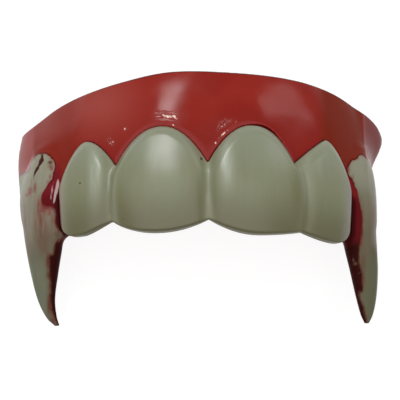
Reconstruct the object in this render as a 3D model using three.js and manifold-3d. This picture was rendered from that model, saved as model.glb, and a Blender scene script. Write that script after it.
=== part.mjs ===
// Vampire fang denture: an upper costume denture of two stiff plastic mouldings.
// gum_arch is the red horseshoe with both fangs, and incisor_bridge is the four fused front teeth
// that sit in its scalloped recess.
// Millimetres. The denture lies on its back on the two flat heels of the arch: +Z is its front,
// +Y runs from the biting edge to the gum rim, and +X is to the right as seen from the front.
import * as THREE from 'three';
import { mergeVertices } from 'three/addons/utils/BufferGeometryUtils.js';
import Module from 'manifold-3d';

// The arch is half an ellipse, cut square to the depth of the denture at its two heels.
const ARCH_HALF_WIDTH = 27;
const ARCH_DEPTH = 24;
const ARCH_END_ANGLE = 74;
const ARCH_OVERRUN = 1.12;

// Heights are measured up from the biting line, the lowest edge of the front teeth.
const CROWN_HEIGHT = 16.3;
const GUM_BAND = 8.2;
const GUM_HEIGHT = CROWN_HEIGHT + GUM_BAND;

// The gum wall and its relief.
const GUM_WALL = 2;
const RIM_ROUND = 0.7;
const RIM_LEAN = 0.9;
const RIM_LEAN_HEIGHT = 6;
const ROOT_SWELL = 0.3;
const ROOT_SPREAD = 0.6;
const BAND_SWELL = 0.35;
const BAND_START = 1.25;
const BAND_REACH = 6;
const BAND_FOOT = 3.5;
const EMINENCE = 0.7;
const EMINENCE_BEYOND_FANG = 0.033;
const EMINENCE_SPREAD = 0.12;
const EMINENCE_LOW = 10;
const EMINENCE_HIGH = 19;
const HEEL_START = 0.76;
const HEEL_UPRIGHT = 0.6;
const HEEL_FLARE = 2.2;
const HEEL_FLARE_FOOT = 13.8;
const HEEL_PINCH = 0.9;
const LEFT_BULGE = 0.4;
const LEFT_BULGE_HEIGHT = 16.5;
const LEFT_BULGE_REACH = 4;
const BASE_LEAN = 0.9;
const BASE_LEAN_HEIGHT = 4;

// The front teeth, and the recess that takes them.
const TOOTH_PROUD = 2.6;
const TOOTH_LIP = 0.12;
const CROWN_ROUNDNESS = 2.7;
const GROOVE_REACH = 3;
const NECK_ROUND = 1.6;
const NECK_FULLNESS = 0.3;
const UPPER_START = 7;
const UPPER_REACH = 9;
const UPPER_LEAN = 1.1;
const LOWER_REACH = 8.5;
const LOWER_DROP = 0.32;
const BITE_ROUND = 0.9;
const BITE_FACE_SHARE = 0.75;
const BITE_BEVEL = 1.3;
const RECESS_DEPTH = 0.7;
const SEAT_CLEARANCE = 0.3;

// The fangs, from the top of the root to the tip.
const FANG_LENGTH = 24.75;
const FANG_ROOT_HEIGHT = 15.7;
const FANG_WIDTH = 8.6;
const FANG_THICKNESS = 4.4;
const FANG_PLACE = 0.757;

// How finely the curved faces are divided.
const COLUMNS_PER_TOOTH = 14;
const TOOTH_ROWS = 13;
const GUM_COLUMNS = 78;
const GUM_ROWS_BELOW_NECK = 3;
const GUM_ROWS_ABOVE_NECK = 7;
const RIM_STEPS = 4;
const FANG_SIDES = 24;
const FANG_SECTIONS = 19;
const COLUMN_CROWDING = 0.65;
const ROW_CROWDING = 1.4;
const RECESS_CORNER_SHARES = [-1, -0.8, -0.5, 0, 0.5, 0.8, 1];
const JOIN_DISTANCE = 1e-4;

const GUM_RED = 0x9c3029;
const GUM_ROUGHNESS = 0.3;
const TOOTH_PALE = 0xa3a891;
const TOOTH_ROUGHNESS = 0.4;

// The rim of the gum, from the left heel to the right one. It was trimmed by hand, so it isn't even.
// at: share of the way from the midline to a heel. height: share of GUM_HEIGHT.
const RIM = [
  { at: -1.12, height: 0.805 },
  { at: -1.0, height: 0.818 },
  { at: -0.88, height: 0.84 },
  { at: -0.72, height: 0.887 },
  { at: -0.54, height: 0.929 },
  { at: -0.35, height: 0.966 },
  { at: -0.15, height: 1.0 },
  { at: 0.08, height: 0.996 },
  { at: 0.4, height: 0.986 },
  { at: 0.57, height: 0.966 },
  { at: 0.7, height: 0.942 },
  { at: 0.84, height: 0.91 },
  { at: 0.93, height: 0.864 },
  { at: 1.0, height: 0.81 },
  { at: 1.12, height: 0.78 },
];

// The lower edge of the gum wall, which runs down behind the front teeth as their backing.
// at: as above. height: share of CROWN_HEIGHT.
const BASE = [
  { at: -1.12, height: 0.5 },
  { at: -1.0, height: 0.47 },
  { at: -0.88, height: 0.4 },
  { at: -0.66, height: 0.2 },
  { at: -0.5, height: 0.22 },
  { at: -0.37, height: 0.235 },
  { at: -0.18, height: 0.22 },
  { at: 0, height: 0.22 },
  { at: 0.18, height: 0.16 },
  { at: 0.35, height: 0.12 },
  { at: 0.48, height: 0.16 },
  { at: 0.66, height: 0.18 },
  { at: 0.88, height: 0.38 },
  { at: 1.0, height: 0.47 },
  { at: 1.12, height: 0.5 },
];

// One row for each front tooth, from left to right.
// peak: where its neck is highest, as a share of the half arch. neck and low: the highest point of the
// neck and the lowest point of the biting edge, shares of CROWN_HEIGHT. proud: share of TOOTH_PROUD.
// The last four are the powers of the curves that its neck and its biting edge follow to each side.
const TEETH = [
  {
    name: 'left lateral', peak: -0.498, neck: 0.935, low: 0.109, proud: 0.88,
    neckLeft: 1.8, neckRight: 1.8, biteLeft: 3.4, biteRight: 1.3,
  },
  {
    name: 'left central', peak: -0.178, neck: 0.992, low: 0.068, proud: 1.0,
    neckLeft: 2.1, neckRight: 2.1, biteLeft: 2.3, biteRight: 2.0,
  },
  {
    name: 'right central', peak: 0.182, neck: 1.0, low: 0.047, proud: 0.98,
    neckLeft: 2.1, neckRight: 2.3, biteLeft: 2.0, biteRight: 1.8,
  },
  {
    name: 'right lateral', peak: 0.515, neck: 0.955, low: 0.045, proud: 0.9,
    neckLeft: 1.15, neckRight: 1.8, biteLeft: 1.6, biteRight: 3.0,
  },
];

// One row for each side of a tooth: the two free sides and the three webs between the teeth.
// at: share of the half arch. neck and low: heights there, shares of CROWN_HEIGHT. face: how far the
// surface stands out there, a share of TOOTH_PROUD. bow and slant: how far the groove there moves away
// from the midline halfway down and at the biting edge, shares of GROOVE_REACH.
const TOOTH_SIDES = [
  { at: -0.641, neck: 0.55, low: 0.3, face: 0.34, bow: 0, slant: 0 },
  { at: -0.365, neck: 0.68, low: 0.2, face: 0.42, bow: 0.167, slant: 0.14 },
  { at: 0.003, neck: 0.66, low: 0.171, face: 0.44, bow: 0, slant: 0 },
  { at: 0.358, neck: 0.7, low: 0.1, face: 0.58, bow: 0.333, slant: 0.183 },
  { at: 0.655, neck: 0.53, low: 0.3, face: 0.34, bow: 0, slant: 0 },
];

// Sections of each fang, from the root to the tip.
// down: share of FANG_LENGTH. wide and thick: shares of FANG_WIDTH and FANG_THICKNESS.
// mesial: how far the centre lies towards the midline, and out: away from the mouth, shares of
// FANG_WIDTH and FANG_THICKNESS.
const LEFT_FANG = [
  { down: 0.0, wide: 0.3, thick: 0.3, mesial: 0.02, out: -0.2 },
  { down: 0.1, wide: 0.7, thick: 0.75, mesial: -0.03, out: -0.12 },
  { down: 0.25, wide: 0.95, thick: 0.96, mesial: -0.085, out: -0.08 },
  { down: 0.42, wide: 0.91, thick: 1.0, mesial: -0.083, out: -0.1 },
  { down: 0.55, wide: 0.78, thick: 0.94, mesial: -0.083, out: -0.13 },
  { down: 0.7, wide: 0.55, thick: 0.76, mesial: -0.12, out: -0.2 },
  { down: 0.85, wide: 0.35, thick: 0.46, mesial: -0.165, out: -0.34 },
  { down: 0.95, wide: 0.21, thick: 0.27, mesial: -0.135, out: -0.5 },
  { down: 1.0, wide: 0.1, thick: 0.12, mesial: -0.055, out: -0.6 },
];

const RIGHT_FANG = [
  { down: 0.0, wide: 0.28, thick: 0.3, mesial: -0.1, out: -0.2 },
  { down: 0.1, wide: 0.58, thick: 0.75, mesial: -0.06, out: -0.14 },
  { down: 0.25, wide: 0.74, thick: 0.95, mesial: -0.025, out: -0.13 },
  { down: 0.42, wide: 0.76, thick: 0.97, mesial: -0.025, out: -0.13 },
  { down: 0.55, wide: 0.75, thick: 0.92, mesial: -0.04, out: -0.11 },
  { down: 0.7, wide: 0.63, thick: 0.78, mesial: -0.1, out: -0.08 },
  { down: 0.85, wide: 0.47, thick: 0.56, mesial: -0.14, out: -0.08 },
  { down: 0.95, wide: 0.26, thick: 0.36, mesial: -0.16, out: -0.1 },
  { down: 1.0, wide: 0.09, thick: 0.14, mesial: -0.165, out: -0.12 },
];

const wasm = await Module();
wasm.setup();

const clamp = THREE.MathUtils.clamp;
const smoothstep = THREE.MathUtils.smoothstep;

// The value of one column of a table at a place along it, on a smooth curve through its rows.
function tableValue(rows, placeColumn, valueColumn, place) {
  const last = rows.length - 1;
  let row = 0;
  while (row < last - 1 && place > rows[row + 1][placeColumn]) row += 1;
  const slopeAt = (index) => {
    const before = rows[Math.max(index - 1, 0)];
    const after = rows[Math.min(index + 1, last)];
    return (after[valueColumn] - before[valueColumn]) / (after[placeColumn] - before[placeColumn]);
  };
  const from = rows[row];
  const to = rows[row + 1];
  const span = to[placeColumn] - from[placeColumn];
  const share = clamp((place - from[placeColumn]) / span, 0, 1);
  const square = share * share;
  const cube = square * share;
  return (
    (2 * cube - 3 * square + 1) * from[valueColumn] +
    (cube - 2 * square + share) * span * slopeAt(row) +
    (3 * square - 2 * cube) * to[valueColumn] +
    (cube - square) * span * slopeAt(row + 1)
  );
}

// The arch's own directions at a share of the half arch: its point on the plan, the way along it
// towards the right, and the way out of the mouth.
function archFrame(at) {
  const angle = THREE.MathUtils.degToRad(ARCH_END_ANGLE * at);
  const heel = ARCH_DEPTH * Math.cos(THREE.MathUtils.degToRad(ARCH_END_ANGLE));
  const along = new THREE.Vector3(ARCH_HALF_WIDTH * Math.cos(angle), 0, -ARCH_DEPTH * Math.sin(angle));
  const stretch = along.length() * THREE.MathUtils.degToRad(ARCH_END_ANGLE);
  along.normalize();
  return {
    point: new THREE.Vector3(ARCH_HALF_WIDTH * Math.sin(angle), 0, ARCH_DEPTH * Math.cos(angle) - heel),
    along,
    out: new THREE.Vector3(-along.z, 0, along.x),
    stretch,
  };
}

// A point at a place along the arch, at a height above the biting line, standing out from the arch.
function archPoint(at, height, standing) {
  const frame = archFrame(at);
  return frame.point.clone().addScaledVector(frame.out, standing).setY(height);
}

// The tooth at a place along the arch, with the share of the way from its peak to the side there.
function toothAt(at) {
  const firstSide = TOOTH_SIDES[0].at;
  const lastSide = TOOTH_SIDES[TOOTH_SIDES.length - 1].at;
  const place = clamp(at, firstSide, lastSide);
  let index = 0;
  while (index < TEETH.length - 1 && place > TOOTH_SIDES[index + 1].at) index += 1;
  const tooth = TEETH[index];
  const onLeft = place < tooth.peak;
  const side = TOOTH_SIDES[onLeft ? index : index + 1];
  const across = clamp((place - tooth.peak) / (side.at - tooth.peak), 0, 1);
  return { tooth, side, across, onLeft };
}

// The neck line and the biting edge of the front teeth.
function neckHeight(at) {
  const { tooth, side, across, onLeft } = toothAt(at);
  const fall = across ** (onLeft ? tooth.neckLeft : tooth.neckRight);
  return CROWN_HEIGHT * (tooth.neck - (tooth.neck - side.neck) * fall);
}

function biteHeight(at) {
  const { tooth, side, across, onLeft } = toothAt(at);
  const rise = across ** (onLeft ? tooth.biteLeft : tooth.biteRight);
  return CROWN_HEIGHT * (tooth.low + (side.low - tooth.low) * rise);
}

// How far along the arch the faces between a central and a lateral are moved away from the midline,
// so that the grooves there bow and slant outwards below the neck.
function grooveDrift(at, height) {
  const { stretch } = archFrame(at);
  const groove = at < 0 ? TOOTH_SIDES[1] : TOOTH_SIDES[3];
  const apart = ((at - groove.at) * stretch) / GROOVE_REACH;
  const bite = biteHeight(at);
  const down = 1 - clamp((height - bite) / (neckHeight(at) - bite), 0, 1);
  const moved = GROOVE_REACH * (4 * groove.bow * down * (1 - down) + groove.slant * down);
  return (Math.sign(at) * moved * Math.exp(-apart * apart)) / stretch;
}

// The recess's outline is the teeth's own, moved out all round by the clearance.
function recessHeight(at) {
  const reach = SEAT_CLEARANCE / archFrame(at).stretch;
  let highest = 0;
  for (const share of RECESS_CORNER_SHARES) {
    const rise = SEAT_CLEARANCE * Math.sqrt(1 - share * share);
    highest = Math.max(highest, neckHeight(at + share * reach) + rise);
  }
  return highest;
}

const rimHeight = (at) => GUM_HEIGHT * tableValue(RIM, 'at', 'height', at);
const baseHeight = (at) => CROWN_HEIGHT * tableValue(BASE, 'at', 'height', at);

// How far the gum's outer face stands out from the arch: a low band round the necks, a slight swelling
// over each root and a stronger one over each fang's root, a lean inwards under the rim, which is less
// at the heels, and at the heels' lower edge, a flare at the top of the right heel, which is pinched in
// below it, and a slight bulge in the left heel.
function gumFace(at, height) {
  const neck = neckHeight(at);
  const rim = rimHeight(at);
  const base = baseHeight(at);
  const { across } = toothAt(at);
  const firstSide = TOOTH_SIDES[0].at;
  const lastSide = TOOTH_SIDES[TOOTH_SIDES.length - 1].at;
  const beyond = Math.max(firstSide - at, at - lastSide, 0) * archFrame(at).stretch;
  const fromTeeth = Math.hypot(Math.max(height - neck, 0), beyond);
  const foot = smoothstep(height, base, base + BAND_FOOT);
  const band = BAND_SWELL * foot * (1 - smoothstep(fromTeeth, BAND_START, BAND_REACH));
  const fade = 1 - smoothstep(height, neck, rim);
  const root = ROOT_SWELL * Math.exp(-((across / ROOT_SPREAD) ** 2)) * fade;
  const fromFang = (Math.abs(at) - FANG_PLACE - EMINENCE_BEYOND_FANG) / EMINENCE_SPREAD;
  const belowTop = 1 - smoothstep(height, EMINENCE_LOW, EMINENCE_HIGH);
  const eminence = EMINENCE * Math.exp(-fromFang * fromFang) * belowTop;
  const nearRim = clamp((height - rim + RIM_LEAN_HEIGHT) / RIM_LEAN_HEIGHT, 0, 1);
  const lean = RIM_LEAN * nearRim ** 2 * (1 - HEEL_UPRIGHT * smoothstep(Math.abs(at), HEEL_START, 1));
  const nearBase = clamp((base + BASE_LEAN_HEIGHT - height) / BASE_LEAN_HEIGHT, 0, 1);
  const tuck = BASE_LEAN * nearBase ** 2 * smoothstep(Math.abs(at), HEEL_START, 1);
  const spread = HEEL_FLARE * smoothstep(height, HEEL_FLARE_FOOT, rim) - HEEL_PINCH;
  const flare = smoothstep(at, HEEL_START, 1) * spread;
  const fromBulge = (height - LEFT_BULGE_HEIGHT) / LEFT_BULGE_REACH;
  const bulge = LEFT_BULGE * smoothstep(-at, HEEL_START, 1) * Math.exp(-fromBulge * fromBulge);
  return band + root + eminence - lean - tuck + flare + bulge;
}

// How far the front of the teeth stands out from the arch: a dome for each crown that leans back
// towards its neck, drops a little towards the biting edge, and is rounded off at both.
function toothFace(at, height) {
  const { tooth, side, across } = toothAt(at);
  const neck = neckHeight(at);
  const bite = biteHeight(at);
  const dome = Math.sqrt(1 - across ** CROWN_ROUNDNESS);
  const crown = TOOTH_PROUD * (side.face + (tooth.proud - side.face) * dome);
  const full = crown - UPPER_LEAN * clamp((height - UPPER_START) / UPPER_REACH, 0, 1) ** 2;
  const lip = Math.min(gumFace(at, height) + TOOTH_LIP, full);
  const nearNeck = 1 - clamp((neck - height) / NECK_ROUND, 0, 1);
  const nearBite = 1 - clamp((height - bite) / BITE_ROUND, 0, 1);
  const fall = 1 - nearNeck * nearNeck;
  const neckRise = NECK_FULLNESS * Math.sqrt(fall) + (1 - NECK_FULLNESS) * fall;
  const biteRise = BITE_FACE_SHARE + (1 - BITE_FACE_SHARE) * Math.sqrt(1 - nearBite * nearBite);
  const lower = 1 - clamp((height - bite) / LOWER_REACH, 0, 1);
  return (lip + (full - lip) * neckRise) * biteRise * (1 - LOWER_DROP * lower * lower);
}

// A closed skin over a row of sections that all have as many points, with both ends filled in.
// Each section is a list of points, and outline gives the same section flat, for its end faces.
function loft(sections, outlines) {
  const around = sections[0].length;
  const positions = sections.flat().flatMap((point) => point.toArray());
  const faces = [];
  for (let row = 0; row + 1 < sections.length; row += 1) {
    for (let index = 0; index < around; index += 1) {
      const next = (index + 1) % around;
      const a = row * around + index;
      const b = row * around + next;
      const c = a + around;
      const d = b + around;
      const straight = sections[row][index].distanceTo(sections[row + 1][next]);
      const crossed = sections[row][next].distanceTo(sections[row + 1][index]);
      if (straight < crossed) faces.push(a, b, d, a, d, c);
      else faces.push(a, b, c, b, d, c);
    }
  }
  const firstCap = THREE.ShapeUtils.triangulateShape(outlines[0], []);
  const lastCap = THREE.ShapeUtils.triangulateShape(outlines[1], []);
  const lastRow = (sections.length - 1) * around;
  for (const [a, b, c] of firstCap) faces.push(a, c, b);
  for (const [a, b, c] of lastCap) faces.push(lastRow + a, lastRow + b, lastRow + c);
  const geometry = new THREE.BufferGeometry();
  geometry.setAttribute('position', new THREE.Float32BufferAttribute(positions, 3));
  geometry.setIndex(faces);
  return geometry;
}

// Turns a closed geometry into a solid that can be joined and cut, with its faces pointing out.
function solidOf(geometry) {
  geometry.deleteAttribute('normal');
  geometry.deleteAttribute('uv');
  const merged = mergeVertices(geometry, JOIN_DISTANCE);
  const triangles = Uint32Array.from(merged.index.array);
  const corners = merged.attributes.position;
  const a = new THREE.Vector3();
  const b = new THREE.Vector3();
  const c = new THREE.Vector3();
  let volume = 0;
  for (let index = 0; index < triangles.length; index += 3) {
    a.fromBufferAttribute(corners, triangles[index]);
    b.fromBufferAttribute(corners, triangles[index + 1]);
    c.fromBufferAttribute(corners, triangles[index + 2]);
    volume += a.dot(b.cross(c));
  }
  if (volume < 0) triangles.reverse();
  const mesh = new wasm.Mesh({
    numProp: 3,
    vertProperties: Float32Array.from(corners.array),
    triVerts: triangles,
  });
  return new wasm.Manifold(mesh);
}

function geometryOf(solid) {
  const mesh = solid.getMesh();
  const geometry = new THREE.BufferGeometry();
  geometry.setAttribute('position', new THREE.BufferAttribute(Float32Array.from(mesh.vertProperties), 3));
  geometry.setIndex(new THREE.BufferAttribute(Uint32Array.from(mesh.triVerts), 1));
  return geometry.toNonIndexed();
}

// A solid that follows the arch. sectionAt gives a closed outline of stand-outs and heights at a place,
// and driftAt how far along the arch a corner of it is moved.
function archSolid(places, sectionAt, driftAt = () => 0) {
  const outlines = places.map(sectionAt);
  const sections = places.map((at, index) =>
    outlines[index].map((corner) => archPoint(at + driftAt(at, corner.y), corner.y, corner.x)),
  );
  return solidOf(loft(sections, [outlines[0], outlines[outlines.length - 1]]));
}

// Places from one end of a stretch to the other, closer together near both ends.
function easedPlaces(from, to, count) {
  const places = [];
  for (let step = 0; step <= count; step += 1) {
    const even = step / count;
    const crowded = (1 - Math.cos(Math.PI * even)) / 2;
    places.push(from + (to - from) * THREE.MathUtils.lerp(even, crowded, COLUMN_CROWDING));
  }
  return places;
}

// The places of the sections across the front teeth, closest at the sides of each tooth.
function toothPlaces() {
  const places = [TOOTH_SIDES[0].at];
  for (let index = 0; index < TEETH.length; index += 1) {
    const stretch = easedPlaces(TOOTH_SIDES[index].at, TOOTH_SIDES[index + 1].at, COLUMNS_PER_TOOTH);
    places.push(...stretch.slice(1));
  }
  return places;
}

// One section of the tooth bridge: up its front from the biting edge to the neck, and down its seat.
function bridgeSection(at) {
  const seat = SEAT_CLEARANCE - RECESS_DEPTH;
  const heights = easedPlaces(biteHeight(at), neckHeight(at), TOOTH_ROWS);
  const front = heights.map((height) => new THREE.Vector2(toothFace(at, height), height));
  const seatHeights = easedPlaces(biteHeight(at) + BITE_BEVEL, neckHeight(at), TOOTH_ROWS);
  const back = seatHeights.map((height) => new THREE.Vector2(seat, height)).reverse();
  return [...front, ...back];
}

// One section of the gum wall: up the outer face, over the rounded rim, and down the inner face.
function gumSection(at) {
  const base = baseHeight(at);
  const neck = recessHeight(at);
  const shoulder = rimHeight(at) - RIM_ROUND;
  const outer = [];
  for (let row = 0; row < GUM_ROWS_BELOW_NECK; row += 1) {
    outer.push(base + ((neck - base) * row) / GUM_ROWS_BELOW_NECK);
  }
  for (let row = 0; row <= GUM_ROWS_ABOVE_NECK; row += 1) {
    const share = (row / GUM_ROWS_ABOVE_NECK) ** ROW_CROWDING;
    outer.push(neck + (shoulder - neck) * share);
  }
  const section = outer.map((height) => new THREE.Vector2(gumFace(at, height), height));
  const lip = gumFace(at, shoulder);
  const lipMiddle = lip - GUM_WALL / 2;
  for (let step = 1; step < RIM_STEPS; step += 1) {
    const turn = (Math.PI * step) / RIM_STEPS;
    const standing = lipMiddle + (GUM_WALL / 2) * Math.cos(turn);
    section.push(new THREE.Vector2(standing, shoulder + RIM_ROUND * Math.sin(turn)));
  }
  for (const height of outer.toReversed()) {
    const relief = Math.min(gumFace(at, height), lip, 0);
    section.push(new THREE.Vector2(relief - GUM_WALL, height));
  }
  return section;
}

// What is taken out of the gum for the front teeth, open towards the front and the biting edge.
function recessCutter() {
  const inner = toothPlaces();
  const firstReach = SEAT_CLEARANCE / archFrame(inner[0]).stretch;
  const lastReach = SEAT_CLEARANCE / archFrame(inner[inner.length - 1]).stretch;
  const places = [inner[0] - firstReach, ...inner, inner[inner.length - 1] + lastReach];
  const clearOfTeeth = 2 * TOOTH_PROUD;
  return archSolid(places, (at) => [
    new THREE.Vector2(-RECESS_DEPTH, -TOOTH_PROUD),
    new THREE.Vector2(clearOfTeeth, -TOOTH_PROUD),
    new THREE.Vector2(clearOfTeeth, recessHeight(at)),
    new THREE.Vector2(-RECESS_DEPTH, recessHeight(at)),
  ]);
}

// One fang: rounded sections across a centre line that leaves the arch at the fang's place.
function fangSolid(rows, place) {
  const frame = archFrame(place);
  const towardsMidline = frame.along.clone().multiplyScalar(-Math.sign(place));
  const sections = [];
  const outlines = [];
  for (let section = 0; section < FANG_SECTIONS; section += 1) {
    const down = section / (FANG_SECTIONS - 1);
    const value = (column) => tableValue(rows, 'down', column, down);
    const centre = frame.point
      .clone()
      .setY(FANG_ROOT_HEIGHT - FANG_LENGTH * down)
      .addScaledVector(towardsMidline, FANG_WIDTH * value('mesial'))
      .addScaledVector(frame.out, FANG_THICKNESS * value('out'));
    const halfWidth = (FANG_WIDTH * value('wide')) / 2;
    const halfThickness = (FANG_THICKNESS * value('thick')) / 2;
    const outline = [];
    for (let side = 0; side < FANG_SIDES; side += 1) {
      const turn = (2 * Math.PI * side) / FANG_SIDES;
      outline.push(new THREE.Vector2(halfWidth * Math.cos(turn), halfThickness * Math.sin(turn)));
    }
    outlines.push(outline);
    sections.push(
      outline.map((corner) =>
        centre.clone().addScaledVector(towardsMidline, corner.x).addScaledVector(frame.out, corner.y),
      ),
    );
  }
  return solidOf(loft(sections, [outlines[0], outlines[outlines.length - 1]]));
}

// A block under the denture: cutting it away leaves the two heels flat at height nought of Z.
function blockUnderHeels() {
  const size = 4 * (ARCH_HALF_WIDTH + ARCH_DEPTH + GUM_HEIGHT + FANG_LENGTH);
  const geometry = new THREE.BoxGeometry(size, size, size);
  geometry.translate(0, 0, -size / 2);
  return solidOf(geometry);
}

function gumArch() {
  const places = [];
  for (let column = 0; column <= GUM_COLUMNS; column += 1) {
    places.push(ARCH_OVERRUN * ((2 * column) / GUM_COLUMNS - 1));
  }
  const wall = archSolid(places, gumSection);
  const leftFang = fangSolid(LEFT_FANG, -FANG_PLACE);
  const rightFang = fangSolid(RIGHT_FANG, FANG_PLACE);
  return wall.add(leftFang).add(rightFang).subtract(recessCutter()).subtract(blockUnderHeels());
}

function incisorBridge() {
  return archSolid(toothPlaces(), bridgeSection, grooveDrift);
}

function pieceMesh(name, solid, colour, roughness) {
  const material = new THREE.MeshStandardMaterial({ color: colour, roughness, metalness: 0 });
  material.flatShading = true;
  const mesh = new THREE.Mesh(geometryOf(solid), material);
  mesh.name = name;
  return mesh;
}

const denture = new THREE.Group();
denture.add(pieceMesh('gum_arch', gumArch(), GUM_RED, GUM_ROUGHNESS));
denture.add(pieceMesh('incisor_bridge', incisorBridge(), TOOTH_PALE, TOOTH_ROUGHNESS));

// The origin is under the middle of the denture's box, on the surface that the heels stand on.
const extent = new THREE.Box3().setFromObject(denture, true);
const middle = extent.getCenter(new THREE.Vector3());
denture.position.set(-middle.x, -middle.y, 0);

export default denture;
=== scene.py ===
"""The looks of the vampire fang denture: fine meshes of both mouldings, their plastics, paint and light."""
import math
from collections import namedtuple
from functools import partialmethod

import bpy
import numpy as np
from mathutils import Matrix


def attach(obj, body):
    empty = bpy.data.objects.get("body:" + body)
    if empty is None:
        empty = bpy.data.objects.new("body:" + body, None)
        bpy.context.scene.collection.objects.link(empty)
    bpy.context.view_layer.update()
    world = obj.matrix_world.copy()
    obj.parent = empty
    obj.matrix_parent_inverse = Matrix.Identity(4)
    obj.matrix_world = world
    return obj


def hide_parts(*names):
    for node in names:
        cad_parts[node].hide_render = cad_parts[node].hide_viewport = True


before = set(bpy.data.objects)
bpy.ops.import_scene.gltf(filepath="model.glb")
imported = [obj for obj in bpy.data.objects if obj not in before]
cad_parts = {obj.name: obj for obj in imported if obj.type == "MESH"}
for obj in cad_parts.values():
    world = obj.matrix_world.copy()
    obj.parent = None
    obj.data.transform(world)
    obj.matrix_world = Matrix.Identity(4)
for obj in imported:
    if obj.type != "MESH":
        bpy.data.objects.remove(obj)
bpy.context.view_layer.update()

import openvdb
from mathutils import Matrix

MILLIMETRE = 0.001

# Lengths are in millimetres in the arch's own frame, with heights above the biting line. The arch is
# half an ellipse, places along it run from -1 at its left end to 1 at its right end, and SHIFT takes
# its frame to the part's.
ARCH_HALF_WIDTH = 27.0
ARCH_DEPTH = 24.0
ARCH_END_ANGLE = math.radians(74.0)
ARCH_HEEL = ARCH_DEPTH * math.cos(ARCH_END_ANGLE)
SHIFT = np.array([-0.295, -7.748, 0.0])

# The gum: its wall and rim, the swellings over the roots, the band and the rolled edge around the teeth.
CROWN_HEIGHT = 16.3
GUM_HEIGHT = 24.5
GUM_WALL = 2.0
RIM_ROUND = 0.25
RIM_LEAN = 0.9
RIM_LEAN_HEIGHT = 6.0
ROOT_SWELL = 0.3
ROOT_SPREAD = 0.6
BAND_SWELL = 0.35
BAND_REACH = 6.0
BAND_START = 1.25
EDGE_ROLL = 0.1
EDGE_ROLL_REACH = 0.6
COLLAR_FOOT = 3.5

# The swelling over each fang, and a fill behind it that rounds the corner between fang and heel.
EMINENCE = 0.7
EMINENCE_PLACE = 0.79
EMINENCE_SPREAD = 0.12
EMINENCE_SPREAD_BEHIND = 0.14
EMINENCE_UP = (10.0, 19.0)
FILL = 0.4
FILL_PLACE = 0.885
FILL_SPREAD = 0.05
FILL_UP = (9.0, 16.0)

# The heels: their flare and pinch on the right, the bulge on the left and how they tuck in below.
HEEL_START = 0.76
HEEL_UPRIGHT = 0.6
HEEL_FLARE = 2.2
HEEL_FLARE_FOOT = 13.8
HEEL_PINCH = 0.9
HEEL_ROUND = 0.15
LEFT_BULGE = 0.4
LEFT_BULGE_HEIGHT = 16.5
LEFT_BULGE_REACH = 4.0
BASE_LEAN = 0.9
BASE_LEAN_HEIGHT = 4.0

# The front teeth: the crowns, their necks and biting edges, and the recess that they sit in.
TOOTH_PROUD = 2.6
TOOTH_LIP = 0.12
CROWN_ROUNDNESS = 2.7
CROWN_BLUR = 0.25
SOFT_CROWN_BLUR = 0.5
SOFT_CROWN_DOWN = (0.3, 0.85)
GROOVE_REACH = 3.0
NECK_ROUND = 1.6
NECK_FULLNESS = 0.3
UPPER_START = 7.0
UPPER_REACH = 9.0
UPPER_LEAN = 1.1
LOWER_REACH = 8.5
LOWER_DROP = 0.32
BITE_ROUND = 0.4
BITE_BEVEL = 1.3
BEVEL_SLOPE = 0.7
BITE_FACE_SHARE = 0.86
OUTLINE_ROUND = 0.2
FRONT_ROUND = 0.15
BACK_ROUND = 0.2
RECESS_DEPTH = 0.7
RECESS_ROUND = 0.12
SEAT_GAP = 0.06
OPEN_GAP = 0.3
OPEN_GAP_PLACE = 0.245
OPEN_GAP_SPREAD = 0.06

# The fangs: their size, how high their roots reach, their place and how they run into the gum.
FANG_LENGTH = 24.75
FANG_ROOT_HEIGHT = 15.7
FANG_WIDTH = 8.6
FANG_THICKNESS = 4.4
FANG_PLACE = 0.757
FANG_BLEND = 1.9

# Two tables of a line's places along the arch and its heights: RIM as shares of GUM_HEIGHT, and BASE
# as shares of CROWN_HEIGHT.
LINE_HEIGHT = 1
RIM = [
    (-1.12, 0.805), (-1.0, 0.818), (-0.88, 0.84), (-0.72, 0.887), (-0.54, 0.929), (-0.35, 0.966),
    (-0.15, 1.0), (0.08, 0.996), (0.4, 0.986), (0.57, 0.966), (0.7, 0.942), (0.84, 0.91), (0.93, 0.864),
    (1.0, 0.81), (1.12, 0.78),
]
BASE = [
    (-1.12, 0.5), (-1.0, 0.47), (-0.88, 0.4), (-0.66, 0.2), (-0.5, 0.22), (-0.37, 0.235), (-0.18, 0.22),
    (0.0, 0.22), (0.18, 0.16), (0.35, 0.12), (0.48, 0.16), (0.66, 0.18), (0.88, 0.38), (1.0, 0.47),
    (1.12, 0.5),
]

# Each front tooth: the place of its neck's peak, its neck, its lowest edge and how proud it is. Then
# the powers of its neck's curve and of its biting edge's to its left and right, how far its dome
# reaches to its left and right, and the place where the dome is highest.
Tooth = namedtuple("Tooth", "place neck bite proud neck_powers bite_powers reaches summit")
TEETH = [
    Tooth(-0.498, 0.935, 0.109, 0.88, (1.8, 1.8), (3.4, 1.3), (1.0, 0.92), -0.5),
    Tooth(-0.178, 0.992, 0.068, 1.0, (2.1, 2.1), (2.3, 2.0), (0.95, 0.93), -0.178),
    Tooth(0.182, 1.0, 0.047, 0.98, (2.1, 2.3), (2.0, 1.8), (0.93, 1.0), 0.135),
    Tooth(0.515, 0.955, 0.045, 0.9, (1.15, 1.8), (1.6, 3.0), (1.0, 1.0), 0.51),
]

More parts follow.
